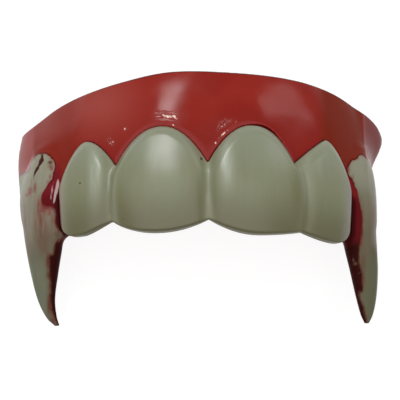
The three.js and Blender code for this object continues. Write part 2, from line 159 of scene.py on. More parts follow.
# Each side of a tooth: its place, neck, lowest edge and how far its face stands out. Then how far
# the groove there moves away from the midline halfway down and at the biting edge, in millimetres.
Side = namedtuple("Side", "place neck bite proud drift_halfway drift_low")
SIDES = [
    Side(-0.641, 0.55, 0.3, 0.34, 0.0, 0.0),
    Side(-0.365, 0.68, 0.2, 0.42, 0.5, 0.42),
    Side(0.003, 0.66, 0.171, 0.44, 0.0, 0.0),
    Side(0.358, 0.7, 0.1, 0.58, 1.0, 0.55),
    Side(0.655, 0.53, 0.3, 0.34, 0.0, 0.0),
]
DRIFTING_SIDES = (SIDES[1], SIDES[3])

# Each fang from its root to its tip: how far down, width, thickness, and how far its centre lies
# towards the midline and out of the mouth, all as shares.
WIDTH, THICKNESS, TOWARDS, OUTWARDS = 1, 2, 3, 4
LEFT_FANG = [
    (0.0, 0.3, 0.3, 0.02, -0.2), (0.1, 0.7, 0.75, -0.03, -0.12), (0.25, 0.95, 0.96, -0.085, -0.08),
    (0.42, 0.91, 1.0, -0.083, -0.1), (0.55, 0.78, 0.94, -0.083, -0.13), (0.7, 0.55, 0.76, -0.12, -0.2),
    (0.85, 0.35, 0.46, -0.165, -0.34), (0.95, 0.21, 0.27, -0.135, -0.5), (1.0, 0.1, 0.12, -0.055, -0.6),
]
RIGHT_FANG = [
    (0.0, 0.28, 0.3, -0.1, -0.2), (0.1, 0.58, 0.75, -0.06, -0.14), (0.25, 0.74, 0.95, -0.025, -0.13),
    (0.42, 0.76, 0.97, -0.025, -0.13), (0.55, 0.75, 0.92, -0.04, -0.11), (0.7, 0.63, 0.78, -0.1, -0.08),
    (0.85, 0.47, 0.56, -0.14, -0.08), (0.95, 0.26, 0.36, -0.16, -0.1), (1.0, 0.09, 0.14, -0.165, -0.12),
]

# The grids that the forms are worked out on, and how far they are blurred.
PLACE_LIMIT = 1.2
FINE_COUNT = 6001
MAP_COUNT = 1501
MAP_LOW = -10.0
MAP_HIGH = 26.0
MAP_STEP = 0.05
ARCH_STEPS = 7
ARCH_LIMIT = 1.3
NEAR_PLACES = 0.9
NEAR_HEIGHTS = (-3, 23)
FAR = 8.0
OUTLINE_BLUR = 0.12
BROAD_BLUR = 1.3
RELIEF_BLUR = 0.2
INNER_BLUR = 0.8
FACE_BLUR = 0.1

# Faint ripples: the seed of the random draws, the reach of a ripple and how high it is.
GUM_RIPPLE = (3, 1.4, 0.02)
TOOTH_RIPPLE = (5, 1.0, 0.008)

# The meshes: the box that each is cut from, its low corner and its high one, and the size of its
# cells. Then how its points are moved onto the true surface, the longest move as a share of a cell.
GUM_BOX = ((-27.2, -9.6, -0.7), (27.6, 25.2, 18.8))
GUM_CELL = 0.21
TOOTH_BOX = ((-21.0, -0.3, 9.0), (21.0, 17.0, 20.6))
TOOTH_CELL = 0.15
BAND_CELLS = 3.0
SLAB_ROWS = 16
SLOPE_STEP = 0.05
SNAP_STEPS = 4
SNAP_LIMIT = 0.5
LEAST_SLOPE_SQUARE = 0.05

# The edges of the paint on each fang: closed outlines of places from the front, in millimetres.
LEFT_PAINT = [
    (-26.19, 13.70), (-25.95, 13.85), (-25.66, 13.69), (-25.39, 13.70), (-24.81, 13.00),
    (-24.53, 13.08), (-24.40, 13.73), (-24.25, 14.50), (-23.97, 14.95), (-23.66, 15.21),
    (-23.32, 15.31), (-22.78, 15.23), (-22.20, 14.96), (-21.76, 14.59), (-21.40, 14.08),
    (-21.07, 13.55), (-20.89, 13.02), (-20.88, 12.48), (-20.99, 11.89), (-21.07, 11.30),
    (-21.27, 10.73), (-21.62, 10.41), (-21.86, 10.08), (-22.04, 9.67), (-22.28, 9.27), (-22.60, 8.94),
    (-22.81, 8.53), (-22.84, 8.00), (-22.75, 7.41), (-22.42, 6.97), (-21.93, 6.78), (-21.44, 6.77),
    (-21.02, 6.61), (-20.78, 6.21), (-20.74, 5.64), (-20.78, 5.02), (-20.77, 4.46), (-20.50, 3.81),
    (-20.20, 3.28), (-19.80, 3.25), (-19.64, 2.91), (-19.77, 2.56), (-20.13, 2.25), (-20.52, 2.01),
    (-20.82, 1.67), (-20.94, 1.07), (-21.12, 0.40), (-21.48, 0.18), (-21.61, -0.27), (-21.61, -1.19),
    (-21.60, -2.10), (-21.48, -2.89), (-21.36, -3.53), (-21.41, -4.45), (-21.47, -5.24),
    (-21.43, -6.04), (-21.33, -6.84), (-21.15, -7.51), (-20.86, -8.05), (-20.58, -8.61),
    (-20.40, -9.30), (-30.00, -9.50), (-30.00, 13.50),
]
RIGHT_PAINT = [
    (24.78, 13.42), (24.59, 14.28), (23.85, 14.23), (23.40, 14.67), (23.03, 14.88), (22.59, 14.95),
    (22.28, 14.62), (22.12, 14.21), (21.71, 13.85), (21.32, 13.80), (20.94, 13.34), (20.61, 12.75),
    (20.30, 12.15), (20.30, 11.62), (20.54, 11.14), (20.90, 10.80), (21.15, 10.35), (21.38, 9.60),
    (21.57, 9.12), (21.73, 8.69), (21.82, 8.19), (21.83, 7.75), (21.85, 7.25), (22.05, 6.70),
    (22.22, 6.07), (22.27, 5.25), (22.22, 4.35), (22.12, 3.19), (21.96, 2.15), (21.78, 1.09),
    (21.62, 0.12), (21.63, -0.97), (21.81, -1.79), (22.04, -2.61), (22.09, -3.56), (22.17, -4.38),
    (22.08, -4.92), (21.75, -5.08), (21.61, -5.42), (21.81, -6.03), (22.18, -6.86), (22.42, -7.70),
    (22.58, -8.47), (22.70, -8.97), (22.80, -9.50), (30.00, -9.50), (30.00, 13.20),
]

# Where the paint has cracked off: the corners of a line, each with its half width.
CRACK = [
    (-22.66, 15.25, 0.1), (-22.71, 14.45, 0.2), (-22.78, 14.01, 0.38), (-22.95, 13.57, 0.26),
    (-23.18, 13.2, 0.15), (-23.34, 12.86, 0.25), (-23.6, 12.46, 0.18), (-23.82, 11.9, 0.08),
    (-23.9, 11.2, 0.03),
]

# Where the red shows through the paint: place, reach across, reach up and how much.
SMEARS = [
    (-21.3, 12.4, 0.28, 0.6, 0.75), (-21.45, 11.2, 0.28, 0.6, 0.6), (-21.8, 10.5, 0.3, 0.4, 0.45),
    (-24.36, 9.75, 0.38, 0.7, 0.9), (-24.85, 9.4, 0.28, 0.4, 0.7), (-23.65, 10.1, 0.3, 0.9, 0.6),
    (-24.15, 8.8, 0.4, 0.4, 0.4), (-23.0, 7.6, 0.3, 0.9, 0.55), (-22.3, 6.5, 0.9, 0.45, 0.75),
    (-21.7, 5.9, 0.7, 0.6, 0.55), (-22.9, 5.2, 0.3, 1.6, 0.45), (-21.2, 5.0, 0.3, 1.0, 0.5),
    (-22.3, 7.0, 0.5, 0.7, 1.2), (-21.6, 6.7, 0.5, 0.5, 1.0), (-22.2, 4.0, 0.25, 1.8, 0.4),
    (-21.6, 0.0, 0.35, 1.6, 0.35), (-20.9, 2.4, 0.4, 0.6, 0.35), (-20.85, 3.4, 0.3, 0.8, 0.5),
    (20.45, 12.0, 0.3, 0.7, 0.6), (20.9, 10.9, 0.3, 0.7, 0.6), (22.05, 5.0, 0.25, 1.5, 0.4),
    (22.1, 2.4, 0.3, 1.8, 0.5), (23.79, 7.6, 0.12, 0.8, 0.35), (23.9, 5.8, 0.2, 1.0, 0.3),
    (22.1, -3.2, 0.3, 1.2, 0.5),
]

# Brown stains in the paint: place, reach across, reach up and how strong.
STAINS = [
    (-21.47, 13.35, 0.36, 0.36, 1.0), (-21.5, 12.8, 0.36, 0.4, 0.6), (-24.2, 11.0, 0.16, 0.7, 0.45),
    (-23.7, 9.5, 0.3, 0.3, 0.35), (-21.75, -0.6, 0.42, 1.4, 1.1), (-21.7, -2.3, 0.38, 0.8, 1.0),
    (-21.55, 13.42, 0.2, 0.2, 2.0), (-21.6, -4.0, 0.34, 0.9, 0.7), (-21.6, -6.2, 0.4, 1.7, 1.1),
    (-21.1, -8.4, 0.7, 0.9, 0.85), (-22.3, 2.2, 1.5, 3.0, 0.5), (-20.5, 3.0, 0.5, 0.6, 0.5),
    (22.25, -1.2, 0.35, 1.3, 0.6), (22.3, -3.2, 0.25, 1.2, 0.6), (23.8, 4.2, 0.35, 3.2, 0.4),
    (22.0, -4.9, 0.14, 0.2, 0.6), (21.9, 7.9, 0.12, 0.3, 0.4), (-20.32, 2.39, 0.12, 0.1, 1.0),
    (-19.83, 2.45, 0.12, 0.1, 1.0), (-20.07, 1.97, 0.1, 0.1, 0.9),
]

# Flecks of paint on the bare red: place, half width and half height. Then how deep they count as
# paint, and how far forward the gum has to lie to show them.
FLECKS = [
    (20.86, -0.6, 0.07, 0.3), (21.16, -1.18, 0.2, 0.17), (21.5, -2.47, 0.2, 0.06),
    (21.75, -5.05, 0.14, 0.16),
]
FLECK_DEPTH = 0.15
FLECK_FRONT = 3.0

# Painted highlight streaks of white shine on the bare red beside the left fang's paint: lines as CRACK.
# They show only further forward than SHINE_FRONT.
SHINES = [
    [
        (-20.4, 10.6, 0.06), (-20.42, 9.97, 0.2), (-20.58, 9.27, 0.19), (-20.74, 8.56, 0.16),
        (-20.88, 7.85, 0.12), (-20.99, 7.3, 0.03),
    ],
    [(-21.05, 10.4, 0.02), (-21.15, 9.6, 0.06), (-21.3, 8.7, 0.05), (-21.4, 7.9, 0.01)],
]
SHINE_FRONT = 7.0

# Painted glints, tiny bright highlights on the gum along the teeth: both ends and the half width of each.
PAINTED_GLINTS = [
    ((-6.52, 17.61), (-5.97, 17.72), 0.05), ((-5.97, 17.87), (-5.57, 17.55), 0.08),
    ((-5.43, 17.69), (-5.16, 17.39), 0.09), ((-5.02, 17.68), (-4.75, 17.37), 0.08),
    ((-4.61, 17.66), (-4.2, 17.5), 0.08), ((-4.34, 17.36), (-3.93, 17.06), 0.05),
    ((-11.17, 16.41), (-11.15, 16.24), 0.1), ((-4.63, 16.36), (-4.36, 16.2), 0.05),
    ((-13.52, 14.34), (-13.1, 14.47), 0.04), ((-12.83, 14.57), (-12.69, 14.7), 0.07),
    ((1.64, 14.3), (2.06, 14.73), 0.05), ((2.06, 14.73), (2.49, 15.16), 0.11),
    ((2.63, 15.31), (3.05, 15.6), 0.04), ((1.21, 13.74), (1.23, 13.58), 0.1),
    ((3.61, 16.33), (4.18, 16.77), 0.03),
]

# Painted sheen on the gum, and where the paint's edge is blurred: both as SMEARS.
PAINTED_SHEENS = [(-14.5, 20.5, 5.0, 4.5, 0.9), (-21.5, 18.0, 2.0, 3.0, 0.7), (-15.5, 16.5, 2.5, 2.0, 0.4)]
BLURS = [(-22.4, 6.9, 0.9, 0.6, 1.0), (-21.2, 6.4, 0.5, 0.7, 0.7), (-20.9, 4.2, 0.3, 1.0, 0.5)]

# Painted highlight bands in the front teeth: as SMEARS.
PAINTED_HIGHLIGHT_BANDS = [
    (2.65, 10.3, 0.8, 2.9, 1.3), (-15.35, 10.6, 0.85, 3.6, 1.0), (-7.6, 12.0, 0.9, 2.6, 0.6),
    (-13.35, 9.0, 0.16, 1.7, 0.9), (0.2, 9.4, 0.3, 1.2, 0.5), (0.0, 5.6, 0.25, 0.9, 0.4),
    (14.0, 10.5, 0.8, 3.5, 0.35),
]

# Olive shadows in the front teeth: as SMEARS.
OLIVES = [(12.3, 6.5, 1.0, 4.5, 0.75), (-1.4, 5.5, 0.9, 3.5, 0.35), (-12.2, 5.5, 0.6, 3.5, 0.3)]

# Painted reflections on the outer edges of the outermost teeth, red from the gum on the left and lilac on
# the right: as SMEARS.
RED_REFLECTIONS = [(-20.15, 5.5, 0.45, 3.6, 0.75), (-20.0, 1.5, 0.5, 1.5, 0.4)]
LILAC_REFLECTIONS = [(20.3, 7.5, 0.7, 3.6, 0.7), (19.6, 1.8, 0.8, 1.8, 0.4)]

# The ends of the gum are duller: from where to where, to the left and to the right of the middle.
DULL_LEFT = ((-24.3, -23.7), (-19.0, -16.5))
DULL_RIGHT = ((15.5, 17.5), (23.4, 23.8))
DULL_LESS = 0.45
DULL_LESS_UP = (15.5, 19.0)

# Glossy wrinkles along the collar: place and reach. They lie WRINKLE_PLACE away from the teeth.
WRINKLES = [
    (-5.60, 17.75, 1.1), (-11.10, 16.40, 0.35), (-13.20, 14.65, 0.7), (1.15, 13.65, 0.5),
    (2.35, 14.95, 0.8), (3.60, 16.15, 0.9), (2.40, 16.35, 0.9),
]
WRINKLE_PLACE = 1.75
WRINKLE_SPREAD = 0.55

# Dirt specks in the teeth: as SMEARS.
SPECKS = [
    (-17.32, 8.89, 0.17, 0.15, 1.0), (-0.80, 11.20, 0.22, 0.28, 1.0), (-11.50, 3.19, 0.1, 0.1, 1.0),
]

# Where the flanks of the fangs that face the midline begin, by their turn and their place across.
# They are darkened by painted shade up to these heights on the left and on the right, and wine red
# further out; the maroon there is partly real and partly painted shade.
FLANK_TURN = (-0.6, 0.0)
FLANK_ACROSS = (18.2, 19.2)
SHADE_LOW = 0.8
SHADE_HIGH = (4.0, 2.6)
DEEP_LOW = (7.6, 7.3)
DEEP_HIGH = (9.6, 8.6)
WINE_ACROSS = (19.6, 20.4)
WINE_UP = (11.0, 14.0)
VIOLET_ACROSS = (23.6, 24.0)

# The paint ends where a face turns from the front, and a tooth's painted highlight bands where it looks
# back.
# GROOVE_DEPTH says from where to where a groove fades out, as shares of TOOTH_PROUD.
PAINT_TURN = 0.35
PAINT_FADE = 3.0
HIGHLIGHT_BAND_TURN = (-0.2, 0.1)
GROOVE_DEPTH = (0.42, 0.8)

# Colours are linear red, green and blue. First the bare gum: high and low, beside the teeth, under a
# painted sheen, at its ends, beside the fangs and in painted shade along its cut rim. Then the fangs'
# flanks, maroon and darkened by painted shade, the painted highlight streaks and the painted glints.
RED_DARK = (0.235, 0.011, 0.006)
RED_BRIGHT = (0.262, 0.015, 0.008)
RED_LOW = (0.185, 0.009, 0.005)
RED_BY_TEETH = (0.25, 0.008, 0.006)
RED_PAINTED_SHEEN = (0.305, 0.052, 0.04)
RED_LEFT_END = (0.215, 0.021, 0.013)
RED_RIGHT_END = (0.18, 0.02, 0.0095)
RED_VIOLET = (0.165, 0.02, 0.017)
WINE_LEFT = (0.165, 0.012, 0.018)
WINE_RIGHT = (0.18, 0.014, 0.014)
RIM_EDGE_SHADE = (0.035, 0.012, 0.008)
FLANK_MAROON_AND_SHADE = (0.11, 0.008, 0.01)
FLANK_CREVICE_SHADE = (0.03, 0.002, 0.003)
FLANK_SHADE = (0.03, 0.0045, 0.0035)
PAINTED_SHINE_WHITE = (0.55, 0.4, 0.39)
PAINTED_GLINT_WHITE = (0.85, 0.62, 0.52)

# The paint on the fangs, with painted shade low on the right fang and a painted shadow along its edge.
PAINT_WARM = (0.25, 0.22, 0.165)
PAINT_COOL = (0.2, 0.2, 0.14)
PAINT_TOP = (0.275, 0.275, 0.202)
PAINT_FOOT = (0.135, 0.15, 0.1)
PAINT_RIGHT_SHADE = (0.108, 0.1, 0.056)
PAINT_BRUSHED = (0.17, 0.105, 0.075)
PAINT_STAIN = (0.105, 0.04, 0.024)
PAINT_THIN = (0.2, 0.022, 0.024)
PAINT_FRINGE = (0.13, 0.055, 0.032)
PAINT_EDGE_SHADOW = (0.05, 0.004, 0.004)
CRACK_DARK = (0.055, 0.009, 0.011)

# The front teeth. Each of the patches has a size, stretch, offset, share and colour.
HIGH_WARM = (0.235, 0.245, 0.18)
HIGH_GREEN = (0.22, 0.245, 0.165)
MIDDLE_WARM = (0.2, 0.206, 0.11)
MIDDLE_GREEN = (0.19, 0.202, 0.112)
PATCHES = [
    (4.0, 1.5, 7.0, 0.45, (0.195, 0.17, 0.105)),
    (3.5, 1.8, 31.0, 0.4, (0.185, 0.225, 0.13)),
    (0.6, 9.0, 23.0, 0.15, (0.27, 0.3, 0.22)),
]
TOOTH_LOW_SHADE = (0.115, 0.105, 0.048)
TOOTH_GROOVE = (0.26, 0.27, 0.175)
TOOTH_PAINTED_HIGHLIGHT = (0.31, 0.335, 0.255)
TOOTH_RIM_GLOW = (0.29, 0.26, 0.19)
TOOTH_OLIVE = (0.145, 0.14, 0.065)
TOOTH_BITE_SHADE = (0.08, 0.07, 0.045)
TOOTH_RED_REFLECTION = (0.25, 0.15, 0.13)
TOOTH_LILAC_REFLECTION = (0.165, 0.15, 0.15)
TOOTH_DIRT = (0.03, 0.03, 0.02)

# The camera: its place in the arch's frame, and which ways are its right, up and backward.
CAMERA_PLACE = (-15.897, -63.572, 275.4)
CAMERA_RIGHT = (0.99845, -0.01686, 0.05304)
CAMERA_UP = (0.00253, 0.96578, 0.25936)
CAMERA_BACKWARD = (-0.0556, -0.25882, 0.96433)
CAMERA_LENS = 177.2
CAMERA_SENSOR = 36

# Each soft light: place, aim and its two sides in metres, and its power in watts.
LIGHTS = {
    "key_window": ((-0.115, 0.285, 0.4), (0, 0, 0.01), (0.12, 0.2), 0.85),
    "overhead": ((-0.06, -0.06, 0.6), (0, 0, 0), (1.2, 0.5), 2.1),
    "front_fill": ((0.0, -0.4, 0.6), (0, 0, 0), (1.0, 0.4), 0.3),
    "right_fill": ((0.40, 0.335, 0.30), (0, 0, 0.01), (0.2, 0.18), 0.24),
}
LIGHT_UPWARD = (0.0, 1.0, 0.0)
WORLD_STRENGTH = 0.38
FLOOR_HALF_WIDTH = 2.0
FLOOR_HEIGHT = -0.00002
FLOOR_DARK = (0.19, 0.19, 0.19)
FLOOR_LIGHT = (0.21, 0.21, 0.21)
FLOOR_GLOW = 0.88


def table_curve(rows, column, place):
    """The value of a table's column at places, on a smooth curve through its rows."""
    places = np.array([row[0] for row in rows])
    values = np.array([row[column] for row in rows])
    last = len(rows) - 1
    before = np.maximum(np.arange(last + 1) - 1, 0)
    after = np.minimum(np.arange(last + 1) + 1, last)
    slopes = (values[after] - values[before]) / (places[after] - places[before])
    index = np.clip(np.searchsorted(places, place) - 1, 0, last - 1)
    span = places[index + 1] - places[index]
    share = np.clip((place - places[index]) / span, 0, 1)
    rise = share * share * (3 - 2 * share)
    bend = share * (1 - share) * ((1 - share) * slopes[index] - share * slopes[index + 1])
    return values[index] + (values[index + 1] - values[index]) * rise + span * bend


def smoothstep(value, low, high):
    share = np.clip((value - low) / (high - low), 0, 1)
    return share * share * (3 - 2 * share)


def smooth_min(first, second, reach):
    share = np.clip(0.5 + 0.5 * (second - first) / reach, 0, 1)
    return second + (first - second) * share - reach * share * (1 - share)


def round_cut(first, second, radius):
    """What lies inside both fields, with a rounded edge between them."""
    corner = np.hypot(np.maximum(first + radius, 0), np.maximum(second + radius, 0))
    return np.minimum(-radius, np.maximum(first, second)) + corner


def hump(value, spread):
    """One where the value is nought, falling away over a spread."""
    return np.exp(-((value / spread) ** 2))


def arch_frame(at):
    """The arch's point on the plan, its way to the right, its way out, and its length per share."""
    angle = ARCH_END_ANGLE * at
    along_x = ARCH_HALF_WIDTH * np.cos(angle)
    along_z = -ARCH_DEPTH * np.sin(angle)
    length = np.hypot(along_x, along_z)
    point = (ARCH_HALF_WIDTH * np.sin(angle), ARCH_DEPTH * np.cos(angle) - ARCH_HEEL)
    along = (along_x / length, along_z / length)
    out = (-along_z / length, along_x / length)
    return point, along, out, length * ARCH_END_ANGLE


def arch_place(x, z):
    """The place along the arch nearest to points of the plan, and how far they stand out from it."""
    deep = z + ARCH_HEEL
    angle = np.arctan2(x / ARCH_HALF_WIDTH, np.maximum(deep, 0.5) / ARCH_DEPTH)
    for _ in range(ARCH_STEPS):
        sine, cosine = np.sin(angle), np.cos(angle)
        on_x, on_z = ARCH_HALF_WIDTH * sine, ARCH_DEPTH * cosine
        way_x, way_z = ARCH_HALF_WIDTH * cosine, -ARCH_DEPTH * sine
        square = way_x**2 + way_z**2
        off = (x - on_x) * way_x + (deep - on_z) * way_z
        bend = (x - on_x) * on_x + (deep - on_z) * on_z
        angle = angle + off / np.maximum(square + bend, 0.3 * square)
        angle = np.clip(angle, -ARCH_LIMIT * ARCH_END_ANGLE, ARCH_LIMIT * ARCH_END_ANGLE)
    at = angle / ARCH_END_ANGLE
    point, _, out, _ = arch_frame(at)
    return at, (x - point[0]) * out[0] + (z - point[1]) * out[1]


def tooth_line(at, column):
    """A line along the teeth, neck or bite, and how far each place is from a peak to a side."""
    place = np.clip(at, SIDES[0].place, SIDES[-1].place)
    value = np.zeros_like(place)
    across = np.zeros_like(place)
    for index, tooth in enumerate(TEETH):
        left, right = SIDES[index], SIDES[index + 1]
        left_power, right_power = getattr(tooth, column + "_powers")
        peak = getattr(tooth, column)
        for side, power, inside in (
            (left, left_power, (place >= left.place) & (place <= tooth.place)),
            (right, right_power, (place > tooth.place) & (place <= right.place)),
        ):
            share = np.clip((place - tooth.place) / (side.place - tooth.place), 0, 1)
            line = peak + (getattr(side, column) - peak) * share**power
            value = np.where(inside, line, value)
            across = np.where(inside, share, across)
    return value, across


def groove_drift(at, down):
    """How far, in millimetres, the grooves beside the centrals move away from the midline."""
    drift = 0
    for side in DRIFTING_SIDES:
        apart = (at - side.place) * arch_frame(side.place)[3]
        moved = 4 * side.drift_halfway * down * (1 - down) + side.drift_low * down
        drift = drift + np.sign(side.place) * moved * hump(apart, GROOVE_REACH)
    return drift


FINE_PLACES = np.linspace(-PLACE_LIMIT, PLACE_LIMIT, FINE_COUNT)
FINE_STRETCH = arch_frame(FINE_PLACES)[3]


def blur_weights(reach, spacing):
    """How many steps of a grid a blur goes each way, and the weight of each step."""
    half = int(math.ceil(3 * reach / spacing))
    weights = np.exp(-0.5 * (np.arange(-half, half + 1) * spacing / reach) ** 2)
    return half, weights / weights.sum()


def blurred(values, reach):
    """Values along the arch, blurred over a reach in millimetres."""
    spacing = (FINE_PLACES[1] - FINE_PLACES[0]) * FINE_STRETCH.mean()
    half, weights = blur_weights(reach, spacing)
    return np.convolve(np.pad(values, half, mode="edge"), weights, mode="valid")


def slope_factor(line):
    """How much steeper than upright a field is that measures heights from a sloping line."""
    return np.hypot(1, np.gradient(line, FINE_PLACES) / FINE_STRETCH)


BITE_PLACES = FINE_PLACES - groove_drift(FINE_PLACES, 1.0) / FINE_STRETCH
NECK_LINE = CROWN_HEIGHT * tooth_line(FINE_PLACES, "neck")[0]
BITE_LINE = CROWN_HEIGHT * tooth_line(BITE_PLACES, "bite")[0]
ACROSS_LINE = tooth_line(FINE_PLACES, "neck")[1]
RIM_LINE = GUM_HEIGHT * table_curve(RIM, LINE_HEIGHT, FINE_PLACES)
BASE_LINE = CROWN_HEIGHT * table_curve(BASE, LINE_HEIGHT, FINE_PLACES)
BITE_SLOPE = slope_factor(BITE_LINE)


def crown_line():
    """How far the crowns stand out along the arch: a dome for each tooth, over flat webs."""
    web = np.interp(FINE_PLACES, [side.place for side in SIDES], [side.proud for side in SIDES])
    crown = web.copy()
    for index, tooth in enumerate(TEETH):
        for side, reach in zip(SIDES[index : index + 2], tooth.reaches):
            edge = tooth.summit + (side.place - tooth.summit) * reach
            share = (FINE_PLACES - tooth.summit) / (edge - tooth.summit)
            inside = (share >= 0) & (share <= 1)
            rise = np.sqrt(1 - np.clip(share, 0, 1) ** CROWN_ROUNDNESS)
            dome = side.proud + (tooth.proud - side.proud) * rise
            crown = np.where(inside, np.maximum(crown, dome), crown)
    return TOOTH_PROUD * crown


CROWN_LINE = blurred(crown_line(), CROWN_BLUR)
SOFT_CROWN_LINE = blurred(crown_line(), SOFT_CROWN_BLUR)


def along_arch(at, line):
    return np.interp(at, FINE_PLACES, line)


MAP_PLACES = np.linspace(-PLACE_LIMIT, PLACE_LIMIT, MAP_COUNT)
MAP_HEIGHTS = np.arange(MAP_LOW, MAP_HIGH, MAP_STEP)
MAP_ARC = np.concatenate([[0], np.cumsum(arch_frame((MAP_PLACES[1:] + MAP_PLACES[:-1]) / 2)[3])])
MAP_ARC *= MAP_PLACES[1] - MAP_PLACES[0]


def map_value(table, at, height):
    """The value of a map of the unrolled arch at places and heights."""
    column = (at - MAP_PLACES[0]) / (MAP_PLACES[1] - MAP_PLACES[0])
    row = (height - MAP_HEIGHTS[0]) / MAP_STEP
    column = np.clip(column, 0, table.shape[0] - 1.001)
    row = np.clip(row, 0, table.shape[1] - 1.001)
    left = column.astype(np.int32)
    low = row.astype(np.int32)
    column = column - left
    row = row - low
    near = table[left, low] * (1 - row) + table[left, low + 1] * row
    far = table[left + 1, low] * (1 - row) + table[left + 1, low + 1] * row
    return near * (1 - column) + far * column


def blurred_map(table, reach):
    """A map blurred over a reach in millimetres."""
    half, weights = blur_weights(reach, MAP_STEP)
    for axis in (0, 1):
        edges = [(0, 0), (0, 0)]
        edges[axis] = (half, half)
        padded = np.pad(table, edges, mode="edge")
        length = table.shape[axis]
        table = sum(
            weight * np.take(padded, np.arange(start, start + length), axis=axis)
            for start, weight in enumerate(weights)
        )
    return table


def ripple_map(seed, reach, height):
    """Smooth bumps of no pattern."""
    rough = np.random.default_rng(seed).standard_normal((MAP_PLACES.size, MAP_HEIGHTS.size))
    smooth = blurred_map(rough, reach)
    return height * (smooth / smooth.std())


def outline_map():
    """How far each point of the unrolled arch lies outside the necks and free sides of the teeth."""
    neck = np.interp(MAP_PLACES, FINE_PLACES, NECK_LINE)
    between = (MAP_PLACES >= SIDES[0].place) & (MAP_PLACES <= SIDES[-1].place)
    curve_arc = MAP_ARC[between]
    curve_height = neck[between]
    steps = np.hypot(np.diff(curve_arc), np.diff(curve_height))
    run = np.concatenate([[0], np.cumsum(steps)])
    even = np.arange(0, run[-1], MAP_STEP)
    arcs = [np.interp(even, run, curve_arc)]
    heights = [np.interp(even, run, curve_height)]
    for arc, top in ((curve_arc[0], curve_height[0]), (curve_arc[-1], curve_height[-1])):
        side = np.arange(MAP_HEIGHTS[0], top, MAP_STEP)
        arcs.append(np.full_like(side, arc))
        heights.append(side)
    columns = np.abs(MAP_PLACES) < NEAR_PLACES
    rows = (MAP_HEIGHTS > NEAR_HEIGHTS[0]) & (MAP_HEIGHTS < NEAR_HEIGHTS[1])
    arc_grid = MAP_ARC[columns].astype(np.float32)[:, None]
    height_grid = MAP_HEIGHTS[rows].astype(np.float32)[None, :]
    square = np.full((arc_grid.size, height_grid.size), FAR**2, dtype=np.float32)
    for arc, height in zip(np.concatenate(arcs), np.concatenate(heights)):
        square = np.minimum(square, (arc_grid - arc) ** 2 + (height_grid - height) ** 2)
    distance = np.full((MAP_PLACES.size, MAP_HEIGHTS.size), FAR)
    distance[np.ix_(columns, rows)] = np.sqrt(square)
    inside = between[:, None] & (MAP_HEIGHTS[None, :] < neck[:, None])
    return blurred_map(np.where(inside, -distance, distance), OUTLINE_BLUR)


OUTLINE_MAP = outline_map()


def gum_map():
    """How far the gum's outer face stands out."""
    at = MAP_PLACES[:, None]
    height = MAP_HEIGHTS[None, :]
    neck = along_arch(at, NECK_LINE)
    rim = along_arch(at, RIM_LINE)
    base = along_arch(at, BASE_LINE)
    across = along_arch(at, ACROSS_LINE)
    away = np.maximum(OUTLINE_MAP, 0)
    foot = smoothstep(height, base, base + COLLAR_FOOT)
    band = BAND_SWELL * (1 - smoothstep(away, BAND_START, BAND_REACH))
    roll = EDGE_ROLL * (1 - smoothstep(away, 0, EDGE_ROLL_REACH))
    fade = 1 - smoothstep(height, neck, rim)
    root = ROOT_SWELL * hump(across, ROOT_SPREAD) * fade
    upright = 1 - HEEL_UPRIGHT * smoothstep(np.abs(at), HEEL_START, 1)
    lean = RIM_LEAN * np.clip((height - rim + RIM_LEAN_HEIGHT) / RIM_LEAN_HEIGHT, 0, 1) ** 2 * upright
    near_base = np.clip((base + BASE_LEAN_HEIGHT - height) / BASE_LEAN_HEIGHT, 0, 1)
    tuck = BASE_LEAN * near_base**2 * smoothstep(np.abs(at), HEEL_START, 1)
    widening = HEEL_FLARE * smoothstep(height, HEEL_FLARE_FOOT, rim) - HEEL_PINCH
    flare = smoothstep(at, HEEL_START, 1) * widening
    bulge = hump(height - LEFT_BULGE_HEIGHT, LEFT_BULGE_REACH)
    flare += LEFT_BULGE * smoothstep(-at, HEEL_START, 1) * bulge
    beyond = np.abs(at) - EMINENCE_PLACE
    spread = np.where(beyond > 0, EMINENCE_SPREAD_BEHIND, EMINENCE_SPREAD)
    eminence = EMINENCE * hump(beyond, spread) * (1 - smoothstep(height, *EMINENCE_UP))
    fill = FILL * hump(np.abs(at) - FILL_PLACE, FILL_SPREAD) * (1 - smoothstep(height, *FILL_UP))
    broad = foot * band + root
    low_relief = flare + eminence + fill - foot * roll - lean - tuck
    smooth = blurred_map(broad, BROAD_BLUR) + blurred_map(low_relief, RELIEF_BLUR)
    return smooth + ripple_map(*GUM_RIPPLE)


GUM_MAP = gum_map()
INNER_MAP = np.minimum(blurred_map(np.minimum(GUM_MAP, 0), INNER_BLUR), 0) - GUM_WALL


def tooth_map():
    """How far the front of the teeth stands out."""
    at = MAP_PLACES[:, None]
    height = MAP_HEIGHTS[None, :]
    stretch = along_arch(at, FINE_STRETCH)
    neck = along_arch(at, NECK_LINE)
    bite = along_arch(at, BITE_LINE)
    down = 1 - np.clip((height - bite) / np.maximum(neck - bite, 1), 0, 1)
    drift = groove_drift(at, down) / stretch
    lean = UPPER_LEAN * np.clip((height - UPPER_START) / UPPER_REACH, 0, 1) ** 2
    full = along_arch(at - drift, CROWN_LINE)
    full += (along_arch(at - drift, SOFT_CROWN_LINE) - full) * smoothstep(down, *SOFT_CROWN_DOWN)
    full -= lean
    lip = np.minimum(GUM_MAP + TOOTH_LIP, full)
    below = 1 - np.clip(-OUTLINE_MAP / NECK_ROUND, 0, 1)
    above = 1 - np.clip((height - bite) / BITE_ROUND, 0, 1)
    neck_rise = NECK_FULLNESS * np.sqrt(1 - below**2) + (1 - NECK_FULLNESS) * (1 - below**2)
    bite_rise = np.sqrt(1 - above * above)
    face = lip + (full - lip) * neck_rise
    face *= BITE_FACE_SHARE + (1 - BITE_FACE_SHARE) * bite_rise
    face *= 1 - LOWER_DROP * (1 - np.clip((height - bite) / LOWER_REACH, 0, 1)) ** 2
    return blurred_map(face, FACE_BLUR) + ripple_map(*TOOTH_RIPPLE)


TOOTH_MAP = tooth_map()


